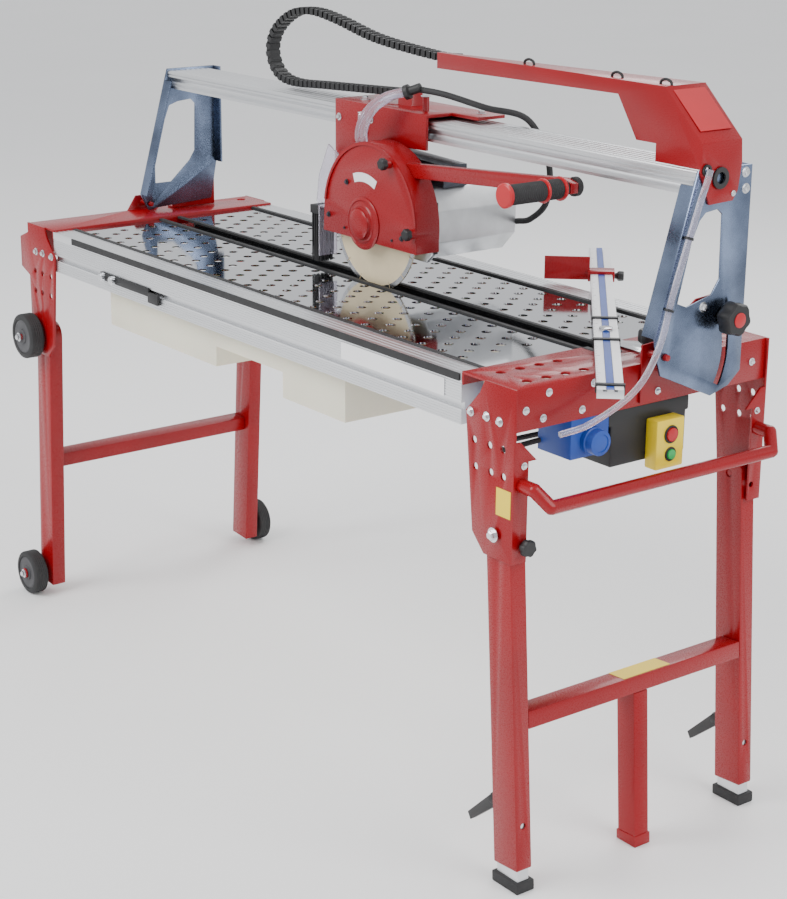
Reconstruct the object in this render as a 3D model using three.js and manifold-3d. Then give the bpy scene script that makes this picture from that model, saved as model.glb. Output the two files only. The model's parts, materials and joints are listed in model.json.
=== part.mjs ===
// Bridge tile saw on folding legs: a wet saw whose motor and blade slide along a tilting bridge.
// Millimetres, +Z up. Pieces are drawn about the floor point under the middle of the table, and the whole
// saw is then moved so that its origin is under the middle of its outer size.
// +X runs along the table to the end with the switch, and -Y is the operator's side.
import * as THREE from "three";
import { mergeVertices } from "three/addons/utils/BufferGeometryUtils.js";
import Module from "manifold-3d";

// ---- driving dimensions ----
const GAP = 0.3;                 // clearance between pieces that touch
const PLAY = 1.0;                // clearance around pieces that move
const TABLE_LENGTH = 1534;
const TABLE_WIDTH = 524;
const TABLE_TOP = 812;
const RAIL_WIDTH = 43;
const RAIL_HEIGHT = 80;
const SHEET = 4;
const END_LIP = 67;              // height of the end pieces' folded skirts
const LEFT_END_LENGTH = 100;
const RIGHT_END_LENGTH = 126;
const SLOT_FRONT = 10;           // the blade's slot, in front of the blade
const SLOT_REAR = 27;            // and behind it, where the blade's edge swings when it is tilted
const PANEL_THICK = 12;
const TRAY_WALL = 4;
const POST_WIDTH = 56;
const POST_DEPTH = 30;
const POST_WALL = 3;
const LEG_STOP_ROOM = 6;         // from a post's side to the table's end, at the fold pivot
const LEG_PIVOT_Z = 580;
const LEG_SPLAY = 4 * Math.PI / 180;
const LEG_PIN_R = 6;
const LEG_PIN_ROOM = 0.5;
const TILT_PIN_R = 5;
const TILT_PIN_ROOM = 0.6;
const WHEEL_R = 46.5;
const WHEEL_WIDTH = 32;
const BLADE_R = 120;
const BLADE_THICK = 2.4;
const BLADE_X = 68;
const BLADE_Z = 915;
const GUARD_ROOM = 18;           // from the blade's edge to the guard's outside
const GUARD_HALF = 25;
const TILT_Z = 828;              // height of the bridge's tilt axis, over the middle of the table
const TILT_ARC_R = 128;
const BRIDGE_RAIL_Y = 50;
const BRIDGE_RAIL_DEPTH = 96;
const BRIDGE_RAIL_HEIGHT = 35;
const BRIDGE_RAIL_TOP = 1102;
const RULER_LENGTH = 990;
const RULER_WIDTH = 39;
const RULER_HEIGHT = 16;

// ---- places worked out from them ----
const HALF_L = TABLE_LENGTH / 2;
const HALF_W = TABLE_WIDTH / 2;
const RAIL_IN = HALF_W - RAIL_WIDTH;
const RAIL_TOP = TABLE_TOP - SHEET;
const LEFT_IN = -HALF_L + LEFT_END_LENGTH;
const RIGHT_IN = HALF_L - RIGHT_END_LENGTH;
const LEG_PIVOT_X = HALF_L - POST_WIDTH / 2 - LEG_STOP_ROOM;
const GUARD_R = BLADE_R + GUARD_ROOM;
const POST_OUT = HALF_W;
const POST_IN = HALF_W - POST_DEPTH;

// ---- colours ----
const RED = { color: 0xb01713, roughness: 0.35, metalness: 0.1 };
const BLACK = { color: 0x161617, roughness: 0.7, metalness: 0.0 };
const STEEL = { color: 0xb9bcc0, roughness: 0.25, metalness: 0.9 };
const ALUMINIUM = { color: 0xc4c7ca, roughness: 0.4, metalness: 0.8 };
const ZINC = { color: 0xaebac6, roughness: 0.35, metalness: 0.8 };
const CREAM = { color: 0xe6dfc4, roughness: 0.6, metalness: 0.0 };
const CLEAR = { color: 0xcfc8dd, roughness: 0.3, metalness: 0.0 };
const BLUE = { color: 0x2a5fae, roughness: 0.5, metalness: 0.0 };
const YELLOW = { color: 0xe8c21c, roughness: 0.5, metalness: 0.0 };
const GREEN = { color: 0x1f9a4a, roughness: 0.5, metalness: 0.0 };
const GREY = { color: 0x6d6f70, roughness: 0.7, metalness: 0.0 };
const IVORY = { color: 0xd8d2bf, roughness: 0.5, metalness: 0.3 };

// ---- solids ----
const wasm = await Module();
wasm.setup();

function solid(geometry) {
  const bare = geometry.clone();
  bare.deleteAttribute("normal");
  bare.deleteAttribute("uv");
  const merged = mergeVertices(bare, 1e-4);
  const vertProperties = new Float32Array(merged.attributes.position.array);
  const triVerts = new Uint32Array(merged.index.array);
  return new wasm.Manifold(new wasm.Mesh({ numProp: 3, vertProperties, triVerts }));
}

// A box given by its low and high corners.
function box(x0, x1, y0, y1, z0, z1) {
  const geometry = new THREE.BoxGeometry(x1 - x0, y1 - y0, z1 - z0);
  geometry.translate((x0 + x1) / 2, (y0 + y1) / 2, (z0 + z1) / 2);
  return solid(geometry);
}

// A cylinder along an axis ("x", "y" or "z") from a to b; c1 and c2 are the centre's other two coordinates.
function rod(axis, radius, a, b, c1, c2, sides = 20, endRadius = radius) {
  const geometry = new THREE.CylinderGeometry(endRadius, radius, b - a, sides);
  geometry.translate(0, (a + b) / 2, 0);
  if (axis === "x") geometry.rotateZ(-Math.PI / 2).translate(0, c1, c2);
  if (axis === "y") geometry.translate(c1, 0, c2);
  if (axis === "z") geometry.rotateX(Math.PI / 2).translate(c1, c2, 0);
  return solid(geometry);
}

function outline(points) {
  return new THREE.Shape(points.map(([u, v]) => new THREE.Vector2(u, v)));
}

// A flat plate of the given outline, seen along +Y as (x, z), from y0 to y1.
function plateXZ(points, y0, y1) {
  const geometry = new THREE.ExtrudeGeometry(outline(points), { depth: y1 - y0, bevelEnabled: false });
  geometry.rotateX(Math.PI / 2).translate(0, y1, 0);
  return solid(geometry);
}

// A flat plate of the given outline in (y, z), from x0 to x1.
function plateYZ(points, x0, x1) {
  const geometry = new THREE.ExtrudeGeometry(outline(points), { depth: x1 - x0, bevelEnabled: false });
  const swap = new THREE.Matrix4().set(0, 0, 1, x0, 1, 0, 0, 0, 0, 1, 0, 0, 0, 0, 0, 1);
  geometry.applyMatrix4(swap);
  return solid(geometry);
}

// A flat plate of the given outline in (x, y), from z0 to z1.
function plateXY(points, z0, z1) {
  const geometry = new THREE.ExtrudeGeometry(outline(points), { depth: z1 - z0, bevelEnabled: false });
  geometry.translate(0, 0, z0);
  return solid(geometry);
}

// Points of an arc about (cu, cv), angles in degrees.
function arc(cu, cv, radius, from, to, steps) {
  return Array.from({ length: steps + 1 }, (_, i) => {
    const angle = (from + (to - from) * i / steps) * Math.PI / 180;
    return [cu + radius * Math.cos(angle), cv + radius * Math.sin(angle)];
  });
}

// A round bar swept along a smooth curve through the points.
function sweep(points, radius, sides, steps, tension = 0.5) {
  const curve = new THREE.CatmullRomCurve3(points.map((p) => new THREE.Vector3(...p)), false,
    "catmullrom", tension);
  const section = outline(arc(0, 0, radius, 0, 360 - 360 / sides, sides - 1));
  return solid(new THREE.ExtrudeGeometry(section, { steps, bevelEnabled: false, extrudePath: curve }));
}

// A round bar along straight runs with a joint at each corner.
function bentBar(points, radius, sides) {
  const runs = points.slice(1).map((end, i) => {
    const line = new THREE.LineCurve3(new THREE.Vector3(...points[i]), new THREE.Vector3(...end));
    const section = outline(arc(0, 0, radius, 0, 360 - 360 / sides, sides - 1));
    return solid(new THREE.ExtrudeGeometry(section, { steps: 1, bevelEnabled: false, extrudePath: line }));
  });
  const corners = points.slice(1, -1).map((p) => {
    const ball = new THREE.SphereGeometry(radius * 1.02, sides, 6);
    return solid(ball.translate(...p));
  });
  return join(...runs, ...corners);
}

function join(...pieces) {
  return pieces.reduce((sum, piece) => sum.add(piece));
}

function cut(base, ...tools) {
  return tools.reduce((rest, tool) => rest.subtract(tool), base);
}

// The same solid on the other side of the table's middle plane, Y = 0.
function acrossY(shape) {
  return moved(shape, new THREE.Matrix4().makeScale(1, -1, 1));
}

function acrossX(shape) {
  return moved(shape, new THREE.Matrix4().makeScale(-1, 1, 1));
}

function moved(shape, matrix) {
  const geometry = toGeometry(shape).applyMatrix4(matrix);
  if (matrix.determinant() < 0) {
    const index = geometry.index.array;
    for (let i = 0; i < index.length; i += 3) {
      [index[i], index[i + 1]] = [index[i + 1], index[i]];
    }
  }
  return solid(geometry);
}

// Turns a solid about an axis through a point, the angle in radians by the right-hand rule.
function turned(shape, axis, angle, x, y, z) {
  const there = new THREE.Matrix4().makeTranslation(x, y, z);
  const turn = new THREE.Matrix4().makeRotationAxis(new THREE.Vector3(...axis), angle);
  const back = new THREE.Matrix4().makeTranslation(-x, -y, -z);
  return moved(shape, there.multiply(turn).multiply(back));
}

function toGeometry(shape) {
  const mesh = shape.getMesh();
  const geometry = new THREE.BufferGeometry();
  const count = mesh.vertProperties.length / mesh.numProp;
  const positions = new Float32Array(count * 3);
  for (let i = 0; i < count; i++) {
    for (let k = 0; k < 3; k++) {
      positions[3 * i + k] = mesh.vertProperties[mesh.numProp * i + k];
    }
  }
  geometry.setAttribute("position", new THREE.BufferAttribute(positions, 3));
  geometry.setIndex(new THREE.BufferAttribute(new Uint32Array(mesh.triVerts), 1));
  return geometry;
}

const saw = new THREE.Group();

function place(name, shape, look, parent = saw) {
  const geometry = toGeometry(shape);
  geometry.computeVertexNormals();
  const mesh = new THREE.Mesh(geometry, new THREE.MeshStandardMaterial(look));
  mesh.name = name;
  parent.add(mesh);
  return mesh;
}

// ---- table ----
const RAIL_BOTTOM = RAIL_TOP - RAIL_HEIGHT;
const SKIRT_BOTTOM = TABLE_TOP - END_LIP;
const PANEL_TOP = RAIL_TOP - 2;

function frontRail() {
  const y0 = -HALF_W;
  const body = box(LEFT_IN + GAP, RIGHT_IN - GAP, y0, -RAIL_IN, RAIL_BOTTOM, RAIL_TOP);
  const hollow = box(LEFT_IN - 1, RIGHT_IN + 1, y0 + 12, -RAIL_IN - SHEET, RAIL_BOTTOM + SHEET,
    RAIL_TOP - SHEET);
  const groove = box(LEFT_IN - 1, RIGHT_IN + 1, y0 - 1, y0 + 8, RAIL_BOTTOM + 24, RAIL_BOTTOM + 34);
  return cut(body, hollow, groove);
}

function panel(slotEdge) {
  return box(LEFT_IN + GAP, RIGHT_IN - GAP, -RAIL_IN + GAP, -slotEdge, PANEL_TOP - PANEL_THICK, PANEL_TOP);
}

function leftEndBeam() {
  const top = box(-HALF_L, LEFT_IN, -HALF_W, HALF_W, RAIL_TOP, TABLE_TOP);
  const skirt = box(-HALF_L, -HALF_L + SHEET, -HALF_W, HALF_W, SKIRT_BOTTOM, RAIL_TOP + 1);
  const lip = box(LEFT_IN - SHEET, LEFT_IN, -HALF_W, HALF_W, RAIL_TOP - END_LIP / 4, RAIL_TOP + 1);
  const tab = plateYZ([[-39, RAIL_TOP], [41, RAIL_TOP], [18, TILT_Z + 14], [-16, TILT_Z + 14]],
    -HALF_L, -HALF_L + SHEET);
  const pin = rod("x", TILT_PIN_R, -HALF_L + 1, LEFT_UPRIGHT_X + 10, 0, TILT_Z, 16);
  const hole = rod("z", 9, RAIL_TOP - 1, TABLE_TOP + 1, -HALF_L + 31, 229, 16);
  return cut(join(top, skirt, lip, tab, pin), hole);
}

function rightEndPlate() {
  const top = box(RIGHT_IN, HALF_L, -HALF_W, HALF_W, RAIL_TOP, TABLE_TOP);
  const skirt = box(HALF_L - SHEET, HALF_L, -HALF_W, HALF_W, SKIRT_BOTTOM, RAIL_TOP + 1);
  const lip = box(RIGHT_IN, RIGHT_IN + SHEET, -HALF_W, HALF_W, RAIL_TOP - END_LIP / 4, RAIL_TOP + 1);
  const notch = join(box(RIGHT_IN - 1, RIGHT_IN + 38, -22, 22, 700, 900),
    rod("z", 22, 700, 900, RIGHT_IN + 38, 0, 24));
  const rows = [RIGHT_IN + 39, RIGHT_IN + 99];
  const holes = rows.flatMap((x) => [43, 81, 119, 156].flatMap((inset) => [-1, 1].map((side) =>
    rod("z", 8, RAIL_TOP - 1, TABLE_TOP + 1, x, side * (HALF_W - inset), 10))));
  return cut(join(top, skirt, lip), notch, ...holes);
}

// Three basins in one moulding, open at the top and to each other above the middle one's floor:
// x0, x1, floor height.
const BASINS = [[-495, -105, 648], [-105, 111, 686], [111, 298, 640]];
const BASIN_INSETS = [TRAY_WALL, -TRAY_WALL - 1, TRAY_WALL];
const TRAY_TOP = RAIL_BOTTOM - GAP;
const TRAY_HALF = RAIL_IN + 13;

function waterTray() {
  const outer = BASINS.map(([x0, x1, floor]) => box(x0, x1, -TRAY_HALF, TRAY_HALF, floor, TRAY_TOP));
  const inner = BASINS.map(([x0, x1, floor], i) => box(x0 + BASIN_INSETS[i], x1 - BASIN_INSETS[i],
    -TRAY_HALF + TRAY_WALL, TRAY_HALF - TRAY_WALL, floor + TRAY_WALL, TRAY_TOP + 1));
  return cut(join(...outer), ...inner);
}

function pump() {
  const x = (BASINS[2][0] + BASINS[2][1]) / 2;
  const floor = BASINS[2][2] + TRAY_WALL + GAP;
  return join(rod("z", 28, floor, floor + 52, x, 120, 20), rod("z", 7, floor + 50, floor + 68, x, 120, 10));
}

// ---- corner brackets: a side plate outside the rail, a folded stop flange and the leg's pivot pin ----
const BRACKET_IN = POST_OUT + GAP;
const BRACKET_OUT = BRACKET_IN + SHEET;
const FLANGE_X = HALF_L + GAP;
const BRACKET_FOOT = LEG_PIVOT_Z - 39;

// The left brackets carry the upper wheels' axle and a lug that stands past the end of the table.
function leftFrontBracket() {
  const axle = rod("y", 6, -WHEEL_OUT - 5, -BRACKET_IN - 1, HIGH_WHEEL_X, LEG_PIVOT_Z, 16);
  const lug = plateXZ([[HALF_L - 7, 796], [HALF_L + 4, 792], [HALF_L + 39, 778], [HALF_L + 39, 716],
    [HALF_L + 4, 702], [HALF_L - 7, 698]], -BRACKET_OUT, -BRACKET_IN);
  return acrossX(join(rightFrontBracket(-BRACKET_OUT - 3), axle, lug));
}

const HIGH_WHEEL_X = LEG_PIVOT_X + 19;

function rightFrontBracket(pinEnd) {
  const x1 = FLANGE_X + SHEET;
  const side = plateXZ([[x1, TABLE_TOP], [x1 - 71, TABLE_TOP], [x1 - 82, 791], [x1 - 114, 757],
    [x1 - 104, 664], [x1 - 94, 570], [x1 - 66, BRACKET_FOOT], [x1, BRACKET_FOOT]], -BRACKET_OUT, -BRACKET_IN);
  const flange = box(FLANGE_X, x1, -BRACKET_OUT, -POST_IN - 6, BRACKET_FOOT, 700);
  const web = plateYZ([[-BRACKET_OUT, 699], [-POST_IN + 10, 699], [-POST_OUT + 8, 731], [-BRACKET_OUT, 731]],
    FLANGE_X, x1);
  const pin = rod("y", LEG_PIN_R, pinEnd, -POST_IN - 2, LEG_PIVOT_X, LEG_PIVOT_Z, 16);
  const holes = [[93, 715], [57, 715], [26, 716], [89, 674], [53, 674], [24, 674]].map(([inset, z]) =>
    rod("y", 6, -BRACKET_OUT - 1, -BRACKET_IN + 1, x1 - inset, z, 10));
  const lockHole = rod("x", 5, FLANGE_X - 1, x1 + 1, -LOCK_Y, LOCK_Z, 12);
  return cut(join(side, flange, web, pin), ...holes, lockHole);
}

const LOCK_Y = POST_IN + 13;
const LOCK_Z = LEG_PIVOT_Z - 12;

function lockKnob() {
  const face = FLANGE_X + SHEET;
  return join(rod("x", 4, face - 3, face + 2, -LOCK_Y, LOCK_Z, 12),
    rod("x", 14, face + GAP, face + 18, -LOCK_Y, LOCK_Z, 18));
}

// ---- legs, built upright under the pivot and then splayed outwards about it ----
const POST_LOW = 34;
const SOCKET_TOP = 230;
const UPRIGHT_X0 = LEG_PIVOT_X - POST_WIDTH / 2;
const UPRIGHT_X1 = LEG_PIVOT_X + POST_WIDTH / 2;
const CROSS_DEPTH = 40;

function splayed(shape) {
  return turned(shape, [0, 1, 0], -LEG_SPLAY, LEG_PIVOT_X, 0, LEG_PIVOT_Z);
}

function rightFrontPost() {
  const bar = box(UPRIGHT_X0, UPRIGHT_X1, -POST_OUT, -POST_IN, POST_LOW, LEG_PIVOT_Z);
  const top = rod("y", POST_WIDTH / 2, -POST_OUT, -POST_IN, LEG_PIVOT_X, LEG_PIVOT_Z, 24);
  const socket = box(UPRIGHT_X0 + POST_WALL, UPRIGHT_X1 - POST_WALL, -POST_OUT + POST_WALL,
    -POST_IN - POST_WALL, 0, SOCKET_TOP);
  const pinHole = rod("y", LEG_PIN_R + LEG_PIN_ROOM, -POST_OUT - 1, -POST_IN + 1, LEG_PIVOT_X, LEG_PIVOT_Z, 16);
  const sideHole = rod("x", 5, UPRIGHT_X1 - 10, UPRIGHT_X1 + 1, -(POST_OUT + POST_IN) / 2, 108, 10);
  return splayed(cut(join(bar, top), socket, pinHole, sideHole));
}

function leftPost() {
  const bar = box(UPRIGHT_X0, UPRIGHT_X1, -POST_OUT, -POST_IN, 22, LEG_PIVOT_Z);
  const top = rod("y", POST_WIDTH / 2, -POST_OUT, -POST_IN, LEG_PIVOT_X, LEG_PIVOT_Z, 24);
  const pinHole = rod("y", LEG_PIN_R + LEG_PIN_ROOM, -POST_OUT - 1, -POST_IN + 1, LEG_PIVOT_X, LEG_PIVOT_Z, 16);
  const post = splayed(cut(join(bar, top), pinHole));
  const axle = rod("y", 6, -WHEEL_OUT - 3, -POST_OUT + 5, LOW_WHEEL_X, WHEEL_R, 16);
  const head = rod("y", 11, -WHEEL_OUT - 5, -WHEEL_OUT - GAP, LOW_WHEEL_X, WHEEL_R, 16);
  return acrossX(join(post, axle, head));
}

function foot() {
  const slip = GAP * 1.5;
  const tube = box(UPRIGHT_X0 + POST_WALL + slip, UPRIGHT_X1 - POST_WALL - slip,
    -POST_OUT + POST_WALL + slip, -POST_IN - POST_WALL - slip, -20, SOCKET_TOP - 80);
  const cap = box(UPRIGHT_X0 - 2, UPRIGHT_X1 + 2, -POST_OUT - 2, -POST_IN + 2, -20, 14);
  const ground = box(HALF_L - 200, HALF_L + 200, -HALF_W * 2, HALF_W * 2, -60, 0);
  return cut(splayed(join(tube, cap)), ground);
}

function footLever() {
  const x = UPRIGHT_X0 - GAP;
  const y = -(POST_OUT + POST_IN) / 2;
  const hub = rod("x", 10, x - 16, x, y, LEVER_Z, 14);
  const arm = plateXZ([[x - 5, LEVER_Z + 9], [x - 14, LEVER_Z + 9], [x - 74, LEVER_Z - 42],
    [x - 68, LEVER_Z - 54], [x - 5, LEVER_Z - 9]], y - 6, y + 6);
  return splayed(join(hub, arm));
}

const LEVER_Z = 132;

function rightCrossbar() {
  return splayed(box(UPRIGHT_X1 - CROSS_DEPTH, UPRIGHT_X1, -POST_IN + GAP, POST_IN - GAP, 265, 294));
}

function leftCrossbar() {
  return acrossX(splayed(box(UPRIGHT_X1 - CROSS_DEPTH, UPRIGHT_X1, -POST_IN + GAP, POST_IN - GAP, 286, 315)));
}

function centreLeg() {
  const leg = box(UPRIGHT_X1 - CROSS_DEPTH, UPRIGHT_X1, -10, 20, -20, 265 - GAP);
  const cap = box(UPRIGHT_X1 - CROSS_DEPTH - 2, UPRIGHT_X1 + 2, -12, 22, -20, 16);
  return cut(splayed(join(leg, cap)), box(HALF_L - 200, HALF_L + 200, -100, 100, -60, 0));
}

// ---- wheels ----
const WHEEL_IN = BRACKET_OUT + 4;
const WHEEL_OUT = WHEEL_IN + WHEEL_WIDTH;
const LOW_WHEEL_X = LEG_PIVOT_X + 55;

function wheel(x, z) {
  const profile = [[6.6, 0], [22, 0], [22, 4], [38, 5], [40, 1], [WHEEL_R - 3, 1], [WHEEL_R, 5],
    [WHEEL_R, WHEEL_WIDTH - 5], [WHEEL_R - 3, WHEEL_WIDTH - 1], [40, WHEEL_WIDTH - 1],
    [38, WHEEL_WIDTH - 5], [22, WHEEL_WIDTH - 4], [22, WHEEL_WIDTH], [6.6, WHEEL_WIDTH], [6.6, 0]];
  const tyre = new THREE.LatheGeometry(profile.map(([r, h]) => new THREE.Vector2(r, h)), 32);
  tyre.translate(x, -WHEEL_OUT, z);
  return solid(tyre);
}

// ---- right end: control box, switch, inlet and lift handle ----
const BOX_TOP = SKIRT_BOTTOM - GAP;
const SWITCH_X = HALF_L - GAP - 2;
const BOX_FRONT = -73;
const SWITCH_DEPTH = 26;
const BUTTONS = { stop: [35, 697, 11], start: [35, 665, 8] };

function controlBox() {
  return join(box(HALF_L - 107, SWITCH_X - GAP, -67, 92, 654, 722),
    box(HALF_L - 115, SWITCH_X - GAP, BOX_FRONT, 98, 720, BOX_TOP));
}

function switchHousing() {
  const front = SWITCH_X + SWITCH_DEPTH;
  const body = box(SWITCH_X, front, 5, 64, 642, 722);
  const sockets = Object.values(BUTTONS).map(([y, z, r]) =>
    rod("x", r + 0.5, front - 12, front + 1, y, z, 16));
  return cut(body, ...sockets);
}

function button([y, z, r]) {
  const front = SWITCH_X + SWITCH_DEPTH;
  return rod("x", r, front - 8, front + 5, y, z, 16);
}

function powerInlet() {
  return join(box(HALF_L - 77, SWITCH_X, -150, BOX_FRONT - GAP, 682, BOX_TOP),
    rod("x", 20, SWITCH_X - 2, SWITCH_X + 24, -110, 708, 20));
}

function liftHandle() {
  const face = FLANGE_X + SHEET + GAP;
  const side = HALF_W - 12;
  return bentBar([[face, -side, 664], [face + 28, -side, 664], [face + 48, -side + 16, 640],
    [face + 48, side - 16, 640], [face + 28, side, 664], [face, side, 664]], 11, 12);
}

// ---- tilt quadrants ----
const LEFT_UPRIGHT_X = -HALF_L + 33;
const RIGHT_UPRIGHT_X = HALF_L + 34;
const TILT_KNOB_ANGLE = 22;
const TILT_RANGE = 45;
const KNOB_Y = TILT_ARC_R * Math.cos(TILT_KNOB_ANGLE * Math.PI / 180);
const KNOB_Z = TILT_Z + TILT_ARC_R * Math.sin(TILT_KNOB_ANGLE * Math.PI / 180);

function leftQuadrant() {
  const face = LEFT_UPRIGHT_X - PLAY;
  const low = TABLE_TOP + GAP;
  const plate = plateYZ([[57, low], [57, 830], [95, 893], [149, 911], [161, 905], [161, low]],
    face - SHEET, face);
  return join(plate, box(face - 22, face, 57, 161, low, low + SHEET));
}

function rightQuadrant() {
  const x0 = FLANGE_X;
  const plate = plateYZ([[-16, 750], [-16, 842], [16, 844], [95, 899], [140, 903], [150, 880], [150, 750]],
    x0, x0 + SHEET);
  const pin = rod("x", TILT_PIN_R, x0 + 1, RIGHT_UPRIGHT_X + SHEET + 6, 0, TILT_Z, 16);
  const stud = rod("x", 5.5, x0 - 1, x0 + SHEET + 1, KNOB_Y, KNOB_Z, 16);
  return cut(join(plate, pin), stud);
}

function rightTiltKnob() {
  const face = RIGHT_UPRIGHT_X + SHEET + GAP;
  const stud = rod("x", 5, FLANGE_X + 0.5, face + 5, KNOB_Y, KNOB_Z, 16);
  const washer = rod("x", 14, face, face + 4, KNOB_Y, KNOB_Z, 20);
  const grip = rod("x", 28, face + 10, face + 36, KNOB_Y, KNOB_Z, 6);
  return join(stud, washer, grip, rod("x", 12, face + 3, face + 12, KNOB_Y, KNOB_Z, 16));
}

// ---- bridge ----
const UPRIGHT_TOP = BRIDGE_RAIL_TOP + SHEET;
const BRIDGE_RAIL_REAR = BRIDGE_RAIL_Y + BRIDGE_RAIL_DEPTH;
const UPRIGHT_REAR = BRIDGE_RAIL_REAR + 19;
const UPRIGHT_FLANGE = UPRIGHT_REAR - SHEET;
const RAIL_LOW = BRIDGE_RAIL_TOP - BRIDGE_RAIL_HEIGHT;

function leftUpright() {
  const x0 = LEFT_UPRIGHT_X;
  const web = plateYZ([[-22, 850], [43, 1083], [50, UPRIGHT_TOP], [UPRIGHT_REAR, UPRIGHT_TOP],
    [UPRIGHT_REAR, 905], [UPRIGHT_REAR - 15, 826], [13, 818], [5, 815], [-4, 815], [-10, 824]], x0, x0 + SHEET);
  const window = plateYZ([[40, 1000], [52, 1030], [73, 1037], [105, 1040], [115, 1030], [112, 931], [99, 911],
    [53, 870], [14, 870], [14, 905]], x0 - 1, x0 + SHEET + 1);
  const frontFlange = plateYZ([[-22, 850], [43, 1083], [47, 1083], [-18, 850]], x0, x0 + 28);
  const rearFlange = box(x0, x0 + 28, UPRIGHT_FLANGE, UPRIGHT_REAR, 905, UPRIGHT_TOP);
  const pinHole = rod("x", TILT_PIN_R + TILT_PIN_ROOM, x0 - 9, x0 + 9, 0, TILT_Z, 16);
  return cut(join(web, frontFlange, rearFlange), window, pinHole);
}

function rightUpright() {
  const x1 = RIGHT_UPRIGHT_X + SHEET;
  const x0 = RIGHT_UPRIGHT_X;
  const web = plateYZ([[-24, 859], [43, 1083], [50, UPRIGHT_TOP], [UPRIGHT_REAR, UPRIGHT_TOP],
    [UPRIGHT_REAR, 783], [UPRIGHT_REAR - 25, 762], [101, 751], [-9, 800], [-18, 826]], x0, x1);
  const window = plateYZ([[44, 1000], [58, 1030], [70, 1041], [95, 1044], [106, 1035], [108, 935], [92, 912],
    [40, 900], [20, 908]], x0 - 1, x1 + 1);
  const slotHalf = 6.5;
  const low = TILT_KNOB_ANGLE - TILT_RANGE - 5;
  const high = TILT_KNOB_ANGLE + 3;
  const slot = plateYZ([...arc(0, TILT_Z, TILT_ARC_R + slotHalf, low, high, 10),
    ...arc(0, TILT_Z, TILT_ARC_R - slotHalf, high, low, 10)], x0 - 1, x1 + 1);
  const frontFlange = plateYZ([[-24, 859], [43, 1083], [47, 1083], [-20, 859]], x0 - 26, x1);
  const rearFlange = box(x0 - 26, x1, UPRIGHT_FLANGE, UPRIGHT_REAR, 783, UPRIGHT_TOP);
  const pinHole = rod("x", TILT_PIN_R + TILT_PIN_ROOM, x0 - 9, x1 + 9, 0, TILT_Z, 16);
  return cut(join(web, frontFlange, rearFlange), window, slot, pinHole);
}

function bridgeRail() {
  const x0 = LEFT_UPRIGHT_X + SHEET + GAP;
  const x1 = RIGHT_UPRIGHT_X - GAP;
  const y1 = BRIDGE_RAIL_REAR;
  const body = box(x0, x1, BRIDGE_RAIL_Y, y1, RAIL_LOW, BRIDGE_RAIL_TOP);
  const hollow = box(x0 - 1, x1 + 1, BRIDGE_RAIL_Y + 12, y1 - 12, RAIL_LOW + 4, BRIDGE_RAIL_TOP - 4);
  const ways = [BRIDGE_RAIL_Y - 1, y1 - 7].map((y) =>
    box(x0 - 1, x1 + 1, y, y + 8, RAIL_LOW + 11, RAIL_LOW + 24));
  return cut(body, hollow, ...ways);
}

const ARM_Y = 50;
const ARM_TOP = 1222;
const ARM_LEFT = 175;
const ARM_END = RIGHT_UPRIGHT_X + SHEET + GAP;
const ARM_SHEET = 3;

function cableArm() {
  const x1 = ARM_END + ARM_SHEET;
  const web = plateXZ([[ARM_LEFT, 1195], [x1 - 183, 1200], [x1 - 139, 1135], [x1 - 96, 1135],
    [x1 - 96, UPRIGHT_TOP + 2], [x1, UPRIGHT_TOP + 2], [x1, 1147], [x1 - 82, ARM_TOP],
    [ARM_LEFT, ARM_TOP]], ARM_Y, ARM_Y + ARM_SHEET);
  const top = plateXY([[ARM_LEFT, ARM_Y], [x1 - 81, ARM_Y], [x1 - 81, 135], [ARM_LEFT + 25, 62],
    [ARM_LEFT, 60]], ARM_TOP - ARM_SHEET, ARM_TOP);
  const slope = plateXZ([[x1 - 82, ARM_TOP], [x1, 1147], [x1, 1143], [x1 - 82, ARM_TOP - 4]], ARM_Y, 135);
  const end = plateYZ([[ARM_Y, 1147], [135, 1147], [138, 1112], [132, 1070], [122, 1055], [72, 1053],
    [ARM_Y, 1104]], ARM_END, x1);
  const holes = [[92, 1092, 16], [62, 1106, 7]].map(([y, z, r]) =>
    rod("x", r, ARM_END - 1, x1 + 1, y, z, 16));
  return cut(join(web, top, slope, end), ...holes);
}

const HOSE_X = RIGHT_UPRIGHT_X + SHEET + 11;

function supplyHose() {
  return sweep([[HOSE_X + 2, 62, 1108], [HOSE_X + 2, 56, 1090], [HOSE_X + 2, 40, 1050], [HOSE_X, 0, 930],
    [HOSE_X, -24, 850], [HOSE_X, -70, 790], [HOSE_X - 6, -150, 752], [HOSE_X - 14, -205, 742]], 5, 8, 24);
}

// ---- carriage ----
const CARRIAGE_LEFT = -111;
const HEAD_PIVOT_X = -75;
const HEAD_PIVOT_Z = 1012;

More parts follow.
